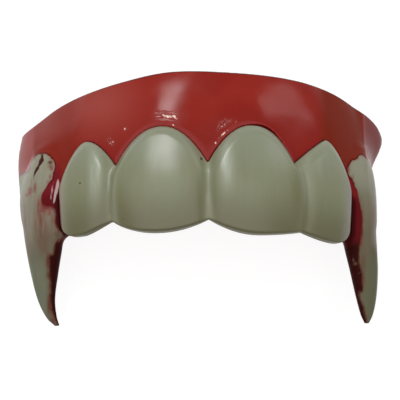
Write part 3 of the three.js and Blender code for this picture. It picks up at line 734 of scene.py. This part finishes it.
def fang_field(rows, place, x, height, z):
    """Below nought inside a fang."""
    point, along, out, _ = arch_frame(place)
    down = (FANG_ROOT_HEIGHT - height) / FANG_LENGTH
    inside = np.clip(down, 0, 1)
    towards = -np.sign(place) * ((x - point[0]) * along[0] + (z - point[1]) * along[1])
    towards = towards - FANG_WIDTH * table_curve(rows, TOWARDS, inside)
    outwards = (x - point[0]) * out[0] + (z - point[1]) * out[1]
    outwards = outwards - FANG_THICKNESS * table_curve(rows, OUTWARDS, inside)
    half_width = FANG_WIDTH * table_curve(rows, WIDTH, inside) / 2
    half_thickness = FANG_THICKNESS * table_curve(rows, THICKNESS, inside) / 2
    share = np.hypot(towards / half_width, outwards / half_thickness)
    slope = np.hypot(towards / half_width**2, outwards / half_thickness**2)
    radial = share * (share - 1) / np.maximum(slope, 1e-6)
    beyond = np.maximum(np.maximum(-down, down - 1), 0) * FANG_LENGTH
    return np.where(beyond > 0, np.hypot(np.maximum(radial, 0), beyond), radial)


def gum_field(x, height, z):
    """Below nought inside the gum arch with its fangs."""
    at, standing = arch_place(x, z)
    rim = along_arch(at, RIM_LINE)
    base = along_arch(at, BASE_LINE)
    wall = round_cut(standing - map_value(GUM_MAP, at, height), height - rim, RIM_ROUND)
    wall = round_cut(wall, map_value(INNER_MAP, at, height) - standing, RIM_ROUND)
    wall = round_cut(wall, base - height, RIM_ROUND)
    left = fang_field(LEFT_FANG, -FANG_PLACE, x, height, z)
    right = fang_field(RIGHT_FANG, FANG_PLACE, x, height, z)
    body = smooth_min(wall, np.minimum(left, right), FANG_BLEND)
    gap = SEAT_GAP + OPEN_GAP * hump(at - OPEN_GAP_PLACE, OPEN_GAP_SPREAD)
    recess = np.maximum(map_value(OUTLINE_MAP, at, height) - gap, -RECESS_DEPTH - standing)
    body = round_cut(body, -recess, RECESS_ROUND)
    return round_cut(body, -z, HEEL_ROUND)


def tooth_field(x, height, z):
    """Below nought inside the bridge of front teeth."""
    at, standing = arch_place(x, z)
    bite_height = along_arch(at, BITE_LINE)
    bite = (bite_height - height) / along_arch(at, BITE_SLOPE)
    outline = round_cut(map_value(OUTLINE_MAP, at, height), bite, OUTLINE_ROUND)
    front = standing - map_value(TOOTH_MAP, at, height)
    back = SEAT_GAP - RECESS_DEPTH
    bevel = np.clip(bite_height + BITE_BEVEL - height, 0, BITE_BEVEL)
    body = round_cut(front, outline, FRONT_ROUND)
    return round_cut(body, (back + BEVEL_SLOPE * bevel) - standing, BACK_ROUND)


def field_slope(field, points):
    """The field at points and its slope there."""
    x, height, z = points.T
    slope = np.empty_like(points)
    for axis in range(3):
        step = np.zeros(3)
        step[axis] = SLOPE_STEP
        ahead = field(*(points + step).T)
        behind = field(*(points - step).T)
        slope[:, axis] = (ahead - behind) / (2 * SLOPE_STEP)
    return field(x, height, z), slope


def moulding(name, field, low, high, cell):
    """A mesh of the surface where a field is nought."""
    counts = [int(math.ceil((top - bottom) / cell)) + 1 for bottom, top in zip(low, high)]
    x, height, z = (bottom + cell * np.arange(count) for bottom, count in zip(low, counts))
    values = np.empty(counts, dtype=np.float32)
    band = BAND_CELLS * cell
    for start in range(0, counts[1], SLAB_ROWS):
        rows = slice(start, start + SLAB_ROWS)
        slab = field(x[:, None, None], height[None, rows, None], z[None, None, :])
        values[:, rows, :] = np.clip(slab, -band, band)
    grid = openvdb.FloatGrid(band)
    grid.copyFromArray(values)
    points, quads = grid.convertToQuads(0.0)
    points = np.array(low) + cell * points.astype(np.float64)
    for _ in range(SNAP_STEPS):
        value, slope = field_slope(field, points)
        square = np.maximum((slope**2).sum(axis=1), LEAST_SLOPE_SQUARE)
        move = np.clip(value / square, -SNAP_LIMIT * cell, SNAP_LIMIT * cell)
        points -= slope * move[:, None]
    _, slope = field_slope(field, points)
    normals = slope / np.maximum(np.linalg.norm(slope, axis=1), 1e-9)[:, None]
    place = (points + SHIFT) * MILLIMETRE
    mesh = bpy.data.meshes.new(name)
    mesh.from_pydata(place.tolist(), [], quads.tolist())
    mesh.update()
    first = mesh.polygons[0]
    if np.dot(np.array(first.normal), normals[first.vertices[0]]) < 0:
        mesh.flip_normals()
    mesh.shade_smooth()
    mesh.normals_split_custom_set_from_vertices(normals.tolist())
    piece = bpy.data.objects.new(name, mesh)
    bpy.context.scene.collection.objects.link(piece)
    return piece, points, normals


def add_values(piece, name, values):
    """Keeps a number for each point of a mesh, for the materials."""
    attribute = piece.data.attributes.new(name, "FLOAT", "POINT")
    attribute.data.foreach_set("value", np.ascontiguousarray(values, dtype=np.float32))


def outline_depth(flat, outline):
    """How far points lie inside a closed outline, below nought outside it."""
    square = np.full(len(flat), np.inf)
    inside = np.zeros(len(flat), dtype=bool)
    for start, end in zip(outline, outline[1:] + outline[:1]):
        edge = np.subtract(end, start)
        away = flat - start
        share = np.clip(away @ edge / (edge @ edge), 0, 1)
        square = np.minimum(square, ((away - share[:, None] * edge) ** 2).sum(axis=1))
        spans = (start[1] > flat[:, 1]) != (end[1] > flat[:, 1])
        rise = edge[1] if edge[1] else 1.0
        inside ^= spans & (away[:, 0] < away[:, 1] * edge[0] / rise)
    return np.where(inside, 1, -1) * np.sqrt(square)


def line_distance(flat, corners):
    """How far points lie outside a line that has a half width at each corner."""
    distance = np.full(len(flat), np.inf)
    for start, end in zip(corners, corners[1:]):
        edge = np.subtract(end[:2], start[:2])
        away = flat - start[:2]
        share = np.clip(away @ edge / (edge @ edge), 0, 1)
        half_width = start[2] + (end[2] - start[2]) * share
        distance = np.minimum(distance, np.hypot(*(away - share[:, None] * edge).T) - half_width)
    return distance


def spots(flat, rows):
    """The strongest of some soft spots at points."""
    strength = np.zeros(len(flat))
    for x, height, across, upright, most in rows:
        square = ((flat[:, 0] - x) / across) ** 2 + ((flat[:, 1] - height) / upright) ** 2
        strength = np.maximum(strength, most * np.exp(-square))
    return strength


def nearest_line(flat, lines):
    """How far points lie outside the nearest of some lines."""
    return np.minimum.reduce([line_distance(flat, corners) for corners in lines])


def paint_depth(flat, z, outwards):
    """How far points lie inside the paint's outlines and flecks, below nought on the bare red."""
    paint = np.maximum(outline_depth(flat, LEFT_PAINT), outline_depth(flat, RIGHT_PAINT))
    for x, height, half_width, half_height in FLECKS:
        share = np.hypot((flat[:, 0] - x) / half_width, (flat[:, 1] - height) / half_height)
        paint = np.maximum(paint, np.where(z > FLECK_FRONT, FLECK_DEPTH * (1 - share), -1))
    return np.minimum(paint, PAINT_FADE * (outwards + PAINT_TURN))


def dullness(x, height):
    """How dull the ends of the gum are."""
    left = smoothstep(x, *DULL_LEFT[0]) * (1 - smoothstep(x, *DULL_LEFT[1]))
    left *= 1 - DULL_LESS * smoothstep(height, *DULL_LESS_UP)
    return left + smoothstep(x, *DULL_RIGHT[0]) * (1 - smoothstep(x, *DULL_RIGHT[1]))


def gum_values(points, normals):
    """What the gum's material needs to know of each point of it."""
    x, height, z = points.T
    flat = points[:, :2]
    at, _ = arch_place(x, z)
    on_left = x < 0
    side = np.where(on_left, -1, 1)
    _, along, out, _ = arch_frame(side * FANG_PLACE)
    towards = -side * (normals[:, 0] * along[0] + normals[:, 2] * along[1])
    outwards = normals[:, 0] * out[0] + normals[:, 2] * out[1]
    flank = smoothstep(towards, *FLANK_TURN) * smoothstep(np.abs(x), *FLANK_ACROSS)
    shade = flank * (1 - smoothstep(height, SHADE_LOW, np.where(on_left, *SHADE_HIGH)))
    deep_low, deep_high = np.where(on_left, *DEEP_LOW), np.where(on_left, *DEEP_HIGH)
    away = map_value(OUTLINE_MAP, at, height)
    wrinkle = spots(flat, [(*row, row[2], 1.0) for row in WRINKLES])
    wrinkle *= hump(away - WRINKLE_PLACE, WRINKLE_SPREAD)
    painted_glints = [[(*start, half_width), (*end, half_width)] for start, end, half_width in PAINTED_GLINTS]
    return {
        "paint": paint_depth(flat, z, outwards),
        "crack": line_distance(flat, CRACK),
        "smear": spots(flat, SMEARS),
        "stain": spots(flat, STAINS),
        # where the painted highlight streaks and painted glints lie
        "shine": np.where(z > SHINE_FRONT, nearest_line(flat, SHINES), 1.0),
        "glint": nearest_line(flat, painted_glints),
        "wrinkle": wrinkle,
        "shade": shade,
        "deep": flank * (1 - smoothstep(height, deep_low, deep_high)),
        "wine": smoothstep(np.abs(x), *WINE_ACROSS) * (1 - smoothstep(height, *WINE_UP)),
        "dull": np.maximum(dullness(x, height), shade),
        "haze": spots(flat, PAINTED_SHEENS),
        "blur": spots(flat, BLURS),
        "violet": smoothstep(x, *VIOLET_ACROSS),
        "from_rim": along_arch(at, RIM_LINE) - height,
        "from_teeth": away,
        "height": height,
        "right_side": (x > 0).astype(float),
    }


def tooth_values(points, normals):
    """What the material of the teeth needs to know of each point of them."""
    x, height, z = points.T
    flat = points[:, :2]
    at, _ = arch_place(x, z)
    crown = along_arch(at, CROWN_LINE) / TOOTH_PROUD
    return {
        "speck": spots(flat, SPECKS) * (normals[:, 2] > 0),
        "olive": spots(flat, OLIVES),
        "blush": spots(flat, RED_REFLECTIONS),
        "lilac": spots(flat, LILAC_REFLECTIONS),
        "pearl": np.minimum(spots(flat, PAINTED_HIGHLIGHT_BANDS), 1) * smoothstep(normals[:, 2], *HIGHLIGHT_BAND_TURN),
        "from_edge": -map_value(OUTLINE_MAP, at, height),
        "above_bite": height - along_arch(at, BITE_LINE),
        "groove": 1 - smoothstep(crown, *GROOVE_DEPTH),
    }


class Looks:
    """Short ways to build a material's nodes. Lengths are in millimetres."""

    def __init__(self, name):
        self.material = bpy.data.materials.new(name)
        self.material.use_nodes = True
        self.tree = self.material.node_tree
        self.shader = self.tree.nodes["Principled BSDF"]
        self.place = self.tree.nodes.new("ShaderNodeTexCoord").outputs["Object"]

    def put(self, socket, value):
        if isinstance(value, bpy.types.NodeSocket):
            self.tree.links.new(value, socket)
        elif isinstance(value, tuple) and len(value) == 3 and socket.type == "RGBA":
            socket.default_value = (*value, 1)
        else:
            socket.default_value = value

    def set(self, name, value):
        """Gives one of the shader's inputs a value, or links it to a node."""
        self.put(self.shader.inputs[name], value)

    def kept(self, name):
        """A number kept for each point of the mesh."""
        node = self.tree.nodes.new("ShaderNodeAttribute")
        node.attribute_name = name
        return node.outputs["Fac"]

    def math(self, kind, first, second=0.0, third=0.0):
        node = self.tree.nodes.new("ShaderNodeMath")
        node.operation = kind
        for socket, value in zip(node.inputs, (first, second, third)):
            self.put(socket, value)
        return node.outputs[0]

    times = partialmethod(math, "MULTIPLY")
    times_plus = partialmethod(math, "MULTIPLY_ADD")
    plus = partialmethod(math, "ADD")
    minus = partialmethod(math, "SUBTRACT")
    larger = partialmethod(math, "MAXIMUM")
    sine = partialmethod(math, "SINE")

    def ramp(self, value, low, high, start=0.0, end=1.0):
        """Runs smoothly from start to end as a value goes from low to high."""
        node = self.tree.nodes.new("ShaderNodeMapRange")
        node.interpolation_type = "SMOOTHSTEP"
        for socket, number in zip(node.inputs, (value, low, high, start, end)):
            self.put(socket, number)
        return node.outputs[0]

    def mix(self, share, first, second):
        """The first colour, or the second one where the share is one."""
        node = self.tree.nodes.new("ShaderNodeMix")
        node.data_type = "RGBA"
        for index, value in ((0, share), (6, first), (7, second)):
            self.put(node.inputs[index], value)
        return node.outputs[2]

    def layered(self, colour, *layers):
        """A colour under layers, each with its share, the most it covers and its own colour."""
        for share, most, over in layers:
            colour = self.mix(self.times(share, most), colour, over)
        return colour

    def noise(self, size, detail=2.0, stretch=(1.0, 1.0, 1.0), offset=0.0):
        """Noise from nought to one, with bumps of about a size."""
        spread = self.tree.nodes.new("ShaderNodeMapping")
        self.put(spread.inputs["Vector"], self.place)
        scale = 1 / (size * MILLIMETRE)
        spread.inputs["Scale"].default_value = tuple(scale / share for share in stretch)
        spread.inputs["Location"].default_value = (offset, offset, offset)
        node = self.tree.nodes.new("ShaderNodeTexNoise")
        self.put(node.inputs["Vector"], spread.outputs[0])
        node.inputs["Scale"].default_value = 1.0
        node.inputs["Detail"].default_value = detail
        return node.outputs[0]

    def bump(self, height, depth, under=None):
        node = self.tree.nodes.new("ShaderNodeBump")
        self.put(node.inputs["Height"], height)
        node.inputs["Distance"].default_value = depth * MILLIMETRE
        if under is not None:
            self.put(node.inputs["Normal"], under)
        return node.outputs[0]


def bare_gum(looks):
    """The colour of the red plastic, under a painted sheen in places, in painted shade along its rim, and
    dark inside the fangs, partly maroon and partly painted shade.
    """
    on_right = looks.kept("right_side")
    from_rim = looks.kept("from_rim")
    from_teeth = looks.kept("from_teeth")
    deep = looks.kept("deep")
    return looks.layered(
        looks.mix(looks.ramp(looks.noise(6.0, 3.0), 0.35, 0.65), RED_DARK, RED_BRIGHT),
        (looks.ramp(from_rim, 3.0, 12.0), 0.5, RED_LOW),
        (looks.ramp(from_teeth, 1.4, 0.4), 0.5, RED_BY_TEETH),
        # painted sheen on the gum's upper left and at its left end
        (looks.kept("haze"), 1.0, RED_PAINTED_SHEEN),
        (looks.kept("dull"), 1.0, looks.mix(on_right, RED_LEFT_END, RED_RIGHT_END)),
        (looks.kept("violet"), 1.0, RED_VIOLET),
        (looks.kept("wine"), 1.0, looks.mix(on_right, WINE_LEFT, WINE_RIGHT)),
        # painted shade along the cut rim
        (looks.ramp(from_rim, 0.32, 0.1), 0.75, RIM_EDGE_SHADE),
        # maroon flanks darkened by painted shade, a painted shadow in the crevice by the teeth, painted
        # shade low down
        (deep, 1.0, FLANK_MAROON_AND_SHADE),
        (looks.times(looks.ramp(from_teeth, 0.75, 0.25), deep), 0.7, FLANK_CREVICE_SHADE),
        (looks.kept("shade"), 1.0, FLANK_SHADE),
    )


def marked_gum(looks, edge, shine, rough_edge):
    """The bare gum with a painted shadow along the paint's edge, painted highlight streaks and painted
    glints.
    """
    outside = looks.times(looks.ramp(edge, -0.3, -0.12), looks.ramp(edge, 0.04, -0.04))
    outline = looks.times(outside, looks.ramp(looks.kept("height"), 7.75, 10.75))
    glint = looks.ramp(looks.times_plus(rough_edge, 0.15, looks.kept("glint")), 0.05, -0.03)
    return looks.layered(
        bare_gum(looks),
        # painted shadow along the paint's top edge
        (outline, 0.7, PAINT_EDGE_SHADOW),
        # painted highlight streaks beside the left fang
        (shine, 0.85, PAINTED_SHINE_WHITE),
        # painted glints along the teeth
        (glint, 1.0, PAINTED_GLINT_WHITE),
    )


def paint_cover(looks, edge, lower):
    """How fully the paint covers the gum. Its edge is softer low down and where it is blurred."""
    soft = looks.larger(looks.times(lower, 0.16), looks.times(looks.kept("blur"), 0.45))
    return looks.ramp(edge, looks.minus(-0.06, soft), looks.plus(0.1, soft))


def paint_colour(looks, edge, lower, strokes):
    """The colour of the paint, brushed thin in places so that the red shows through."""
    height = looks.kept("height")
    tone = looks.ramp(looks.noise(2.2, 3.0, (1.0, 2.0, 1.0), 9.0), 0.35, 0.65)
    # painted shade: the right fang's paint darkens towards its foot
    right_shade = looks.times(looks.kept("right_side"), looks.ramp(height, 14.75, 1.75))
    streaky = looks.ramp(looks.noise(1.3, 3.0, (1.0, 5.0, 1.0), 13.0), 0.45, 0.7)
    middle = looks.times(looks.ramp(height, 9.5, 6.0), looks.ramp(height, -1.5, 3.0))
    brush = looks.times(streaky, looks.times_plus(middle, 0.6, 0.15))
    stain = looks.times(looks.kept("stain"), looks.ramp(strokes, 0.2, 0.5, 0.7, 1.0))
    pale = looks.layered(
        looks.mix(tone, PAINT_WARM, PAINT_COOL),
        (looks.ramp(height, 8.0, 11.0), 0.8, PAINT_TOP),
        (looks.ramp(height, 6.0, 0.0), 0.8, PAINT_FOOT),
        (right_shade, 0.65, PAINT_RIGHT_SHADE),
        (looks.times_plus(middle, 0.25, brush), 1.0, PAINT_BRUSHED),
        (stain, 1.0, PAINT_STAIN),
    )
    worn = looks.times_plus(looks.kept("smear"), 0.9, looks.times(strokes, 0.8))
    body = looks.times(looks.ramp(worn, 1.0, 0.5, 0.1, 1.0), looks.ramp(edge, 0.0, 0.45, 0.6, 1.0))
    coat = looks.mix(body, looks.mix(0.3, PAINT_THIN, pale), pale)
    fringe = looks.times(looks.ramp(edge, 0.3, 0.05), looks.times(lower, 0.55))
    return looks.mix(fringe, coat, PAINT_FRINGE)


def gum_gloss(looks, cover, shine):
    """Glossy bare plastic with wet-looking wrinkles, duller paint, and no mirror at the ends."""
    gloss = looks.ramp(looks.noise(3.0, 3.0, offset=3.0), 0.3, 0.7, 0.14, 0.22)
    rough = looks.times_plus(cover, 0.2, gloss)
    looks.set("Roughness", looks.times_plus(looks.kept("shade"), 0.25, rough))
    wet = looks.larger(looks.ramp(looks.kept("wrinkle"), 0.1, 0.5), shine)
    dashes = looks.ramp(looks.noise(0.35, 2.0, (1.6, 0.8, 1.0), 21.0), 0.5, 0.56)
    looks.set("Coat Weight", looks.times(looks.times(wet, looks.minus(1.0, cover)), dashes))
    looks.set("Coat Roughness", 0.07)
    faint = looks.larger(looks.kept("dull"), looks.times(looks.kept("violet"), 0.35))
    looks.set("Specular IOR Level", looks.times_plus(faint, -0.22, 0.24))


def gum_relief(looks, cover, crack, strokes):
    """Fine wrinkles along the teeth, a faint unevenness, and the thickness of the paint."""
    bend = looks.times(looks.noise(0.55, 2.0), 9.0)
    stripe = looks.sine(looks.times_plus(looks.kept("from_teeth"), 12.0, bend))
    normal = looks.bump(looks.times(stripe, looks.kept("wrinkle")), 0.04)
    normal = looks.bump(looks.noise(1.6, 2.0, offset=2.0), 0.012, normal)
    coat = looks.times(cover, looks.plus(strokes, 0.6))
    normal = looks.bump(looks.times(coat, looks.minus(1.0, crack)), 0.05, normal)
    looks.set("Normal", normal)
    looks.set("Coat Normal", normal)


def gum_material():
    """Glossy red plastic, with pale paint brushed over the fangs."""
    looks = Looks("gum_red")
    strokes = looks.noise(0.42, 3.0, (1.0, 6.0, 1.0))
    rough_edge = looks.minus(looks.noise(0.6, 4.0, (1.0, 1.8, 1.0), 5.0), 0.5)
    edge = looks.times_plus(rough_edge, 0.36, looks.kept("paint"))
    edge = looks.times_plus(looks.minus(strokes, 0.5), 0.3, edge)
    lower = looks.ramp(looks.kept("height"), 8.0, 3.0)
    cover = paint_cover(looks, edge, lower)
    crack = looks.ramp(looks.times_plus(rough_edge, 0.16, looks.kept("crack")), 0.07, -0.07)
    crack = looks.times(crack, looks.ramp(edge, -0.02, 0.1))
    shine = looks.ramp(looks.times_plus(rough_edge, 0.2, looks.kept("shine")), 0.1, -0.06)
    red = marked_gum(looks, edge, shine, rough_edge)
    colour = looks.mix(cover, red, paint_colour(looks, edge, lower, strokes))
    looks.set("Base Color", looks.mix(crack, colour, CRACK_DARK))
    gum_gloss(looks, cover, shine)
    gum_relief(looks, cover, crack, strokes)
    return looks.material


def tooth_colour(looks):
    """Greenish above and darker and olive towards the biting edge, partly as painted shade, with painted
    highlight bands, olive shadows, a painted glow along the edges, painted reflections and specks.
    """
    above = looks.kept("above_bite")
    share = looks.ramp(looks.noise(3.2, 3.0, (1.0, 1.4, 1.0)), 0.1, 0.9)
    high = looks.mix(share, HIGH_WARM, HIGH_GREEN)
    middle = looks.mix(share, MIDDLE_WARM, MIDDLE_GREEN)
    patches = [
        (looks.ramp(looks.noise(size, 1.0, (1.0, stretch, 1.0), offset), 0.15, 0.9), most, colour)
        for size, stretch, offset, most, colour in PATCHES
    ]
    streaks = looks.ramp(looks.noise(0.5, 3.0, (1.0, 7.0, 1.0), 17.0), 0.3, 0.6, 0.65, 1.0)
    return looks.layered(
        # painted light and shade: lighter towards the necks, darker towards the biting edge
        looks.mix(looks.ramp(above, 12.5, 6.5), high, middle),
        *patches,
        # painted shade: darker still towards the biting edge
        (looks.ramp(above, 7.5, 0.5), 0.85, TOOTH_LOW_SHADE),
        (looks.kept("groove"), 0.5, TOOTH_GROOVE),
        # painted highlights: pearly bands where the teeth catch the light
        (looks.times(looks.kept("pearl"), streaks), 1.0, TOOTH_PAINTED_HIGHLIGHT),
        # painted light: a lighter rim along the tooth's edges, where light shines through
        (looks.ramp(looks.kept("from_edge"), 0.55, 0.15), 0.4, TOOTH_RIM_GLOW),
        (looks.kept("olive"), 1.0, TOOTH_OLIVE),
        # painted shade: a thin dark line along the biting edge
        (looks.ramp(above, 0.4, 0.1), 0.3, TOOTH_BITE_SHADE),
        # painted reflections: red from the gum on the left edge, lilac on the right
        (looks.kept("blush"), 1.0, TOOTH_RED_REFLECTION),
        (looks.kept("lilac"), 1.0, TOOTH_LILAC_REFLECTION),
        (looks.ramp(looks.kept("speck"), 0.3, 0.7), 1.0, TOOTH_DIRT),
    )


def tooth_material():
    """Satin pale plastic with a little depth."""
    looks = Looks("tooth_pale")
    looks.set("Base Color", tooth_colour(looks))
    looks.set("Roughness", 0.305)
    looks.set("Specular IOR Level", looks.ramp(looks.kept("above_bite"), 0.0, 0.3, 0.1, 0.55))
    looks.set("Subsurface Weight", 0.12)
    looks.set("Subsurface Radius", (1.0, 0.9, 0.6))
    looks.set("Subsurface Scale", 0.8 * MILLIMETRE)
    looks.set("Normal", looks.bump(looks.noise(0.9, 2.0, offset=4.0), 0.008))
    return looks.material


def floor_material():
    """White by a glow of its own, and dark enough below it that only a soft shadow shows."""
    looks = Looks("floor_white")
    looks.set("Base Color", looks.mix(looks.noise(60.0, 2.0), FLOOR_DARK, FLOOR_LIGHT))
    looks.set("Roughness", 0.9)
    looks.set("Specular IOR Level", 0.0)
    looks.set("Emission Color", (1, 1, 1))
    looks.set("Emission Strength", FLOOR_GLOW)
    return looks.material


def placed(data, place, right, up, backward):
    """A camera or light at a place, turned so that these are its ways."""
    thing = bpy.data.objects.new(data.name, data)
    turn = Matrix((right, up, backward)).transposed().to_4x4()
    thing.matrix_world = Matrix.Translation(place) @ turn
    bpy.context.scene.collection.objects.link(thing)
    return thing


def place_camera():
    data = bpy.data.cameras.new("camera")
    data.lens = CAMERA_LENS
    data.sensor_width = CAMERA_SENSOR
    data.clip_start = 0.01
    place = (np.array(CAMERA_PLACE) + SHIFT) * MILLIMETRE
    camera = placed(data, place.tolist(), CAMERA_RIGHT, CAMERA_UP, CAMERA_BACKWARD)
    bpy.context.scene.camera = camera


def soft_light(name, place, aim, size, power):
    data = bpy.data.lights.new(name, "AREA")
    data.shape = "RECTANGLE"
    data.size, data.size_y = size
    data.energy = power
    away = np.subtract(place, aim)
    away /= np.linalg.norm(away)
    right = np.cross(LIGHT_UPWARD, away)
    right /= np.linalg.norm(right)
    up = np.cross(away, right)
    placed(data, place, right.tolist(), up.tolist(), away.tolist())


def floor():
    mesh = bpy.data.meshes.new("floor")
    half = FLOOR_HALF_WIDTH
    corners = [(-half, -half), (half, -half), (half, half), (-half, half)]
    mesh.from_pydata([(*corner, FLOOR_HEIGHT) for corner in corners], [], [(0, 1, 2, 3)])
    piece = bpy.data.objects.new("floor", mesh)
    bpy.context.scene.collection.objects.link(piece)
    mesh.materials.append(floor_material())


def surroundings():
    """An even soft light from all around."""
    world = bpy.data.worlds.new("world")
    bpy.context.scene.world = world
    world.use_nodes = True
    background = world.node_tree.nodes["Background"]
    background.inputs["Color"].default_value = (1, 1, 1, 1)
    background.inputs["Strength"].default_value = WORLD_STRENGTH
    bpy.context.scene.view_settings.view_transform = "Standard"


def dressed(name, field, box, cell, values_of, material):
    """A moulding with its kept numbers and its material."""
    piece, points, normals = moulding(name, field, *box, cell)
    for value_name, values in values_of(points, normals).items():
        add_values(piece, value_name, values)
    piece.data.materials.append(material())
    return piece


place_camera()
for light_name, settings in LIGHTS.items():
    soft_light(light_name, *settings)
floor()
surroundings()

gum = dressed("gum_arch_moulded", gum_field, GUM_BOX, GUM_CELL, gum_values, gum_material)
teeth = dressed(
    "incisor_bridge_moulded", tooth_field, TOOTH_BOX, TOOTH_CELL, tooth_values, tooth_material
)
for piece, node, slot in ((gum, "gum_arch", "gum"), (teeth, "incisor_bridge", "tooth")):
    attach(piece, "root")
    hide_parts(node)
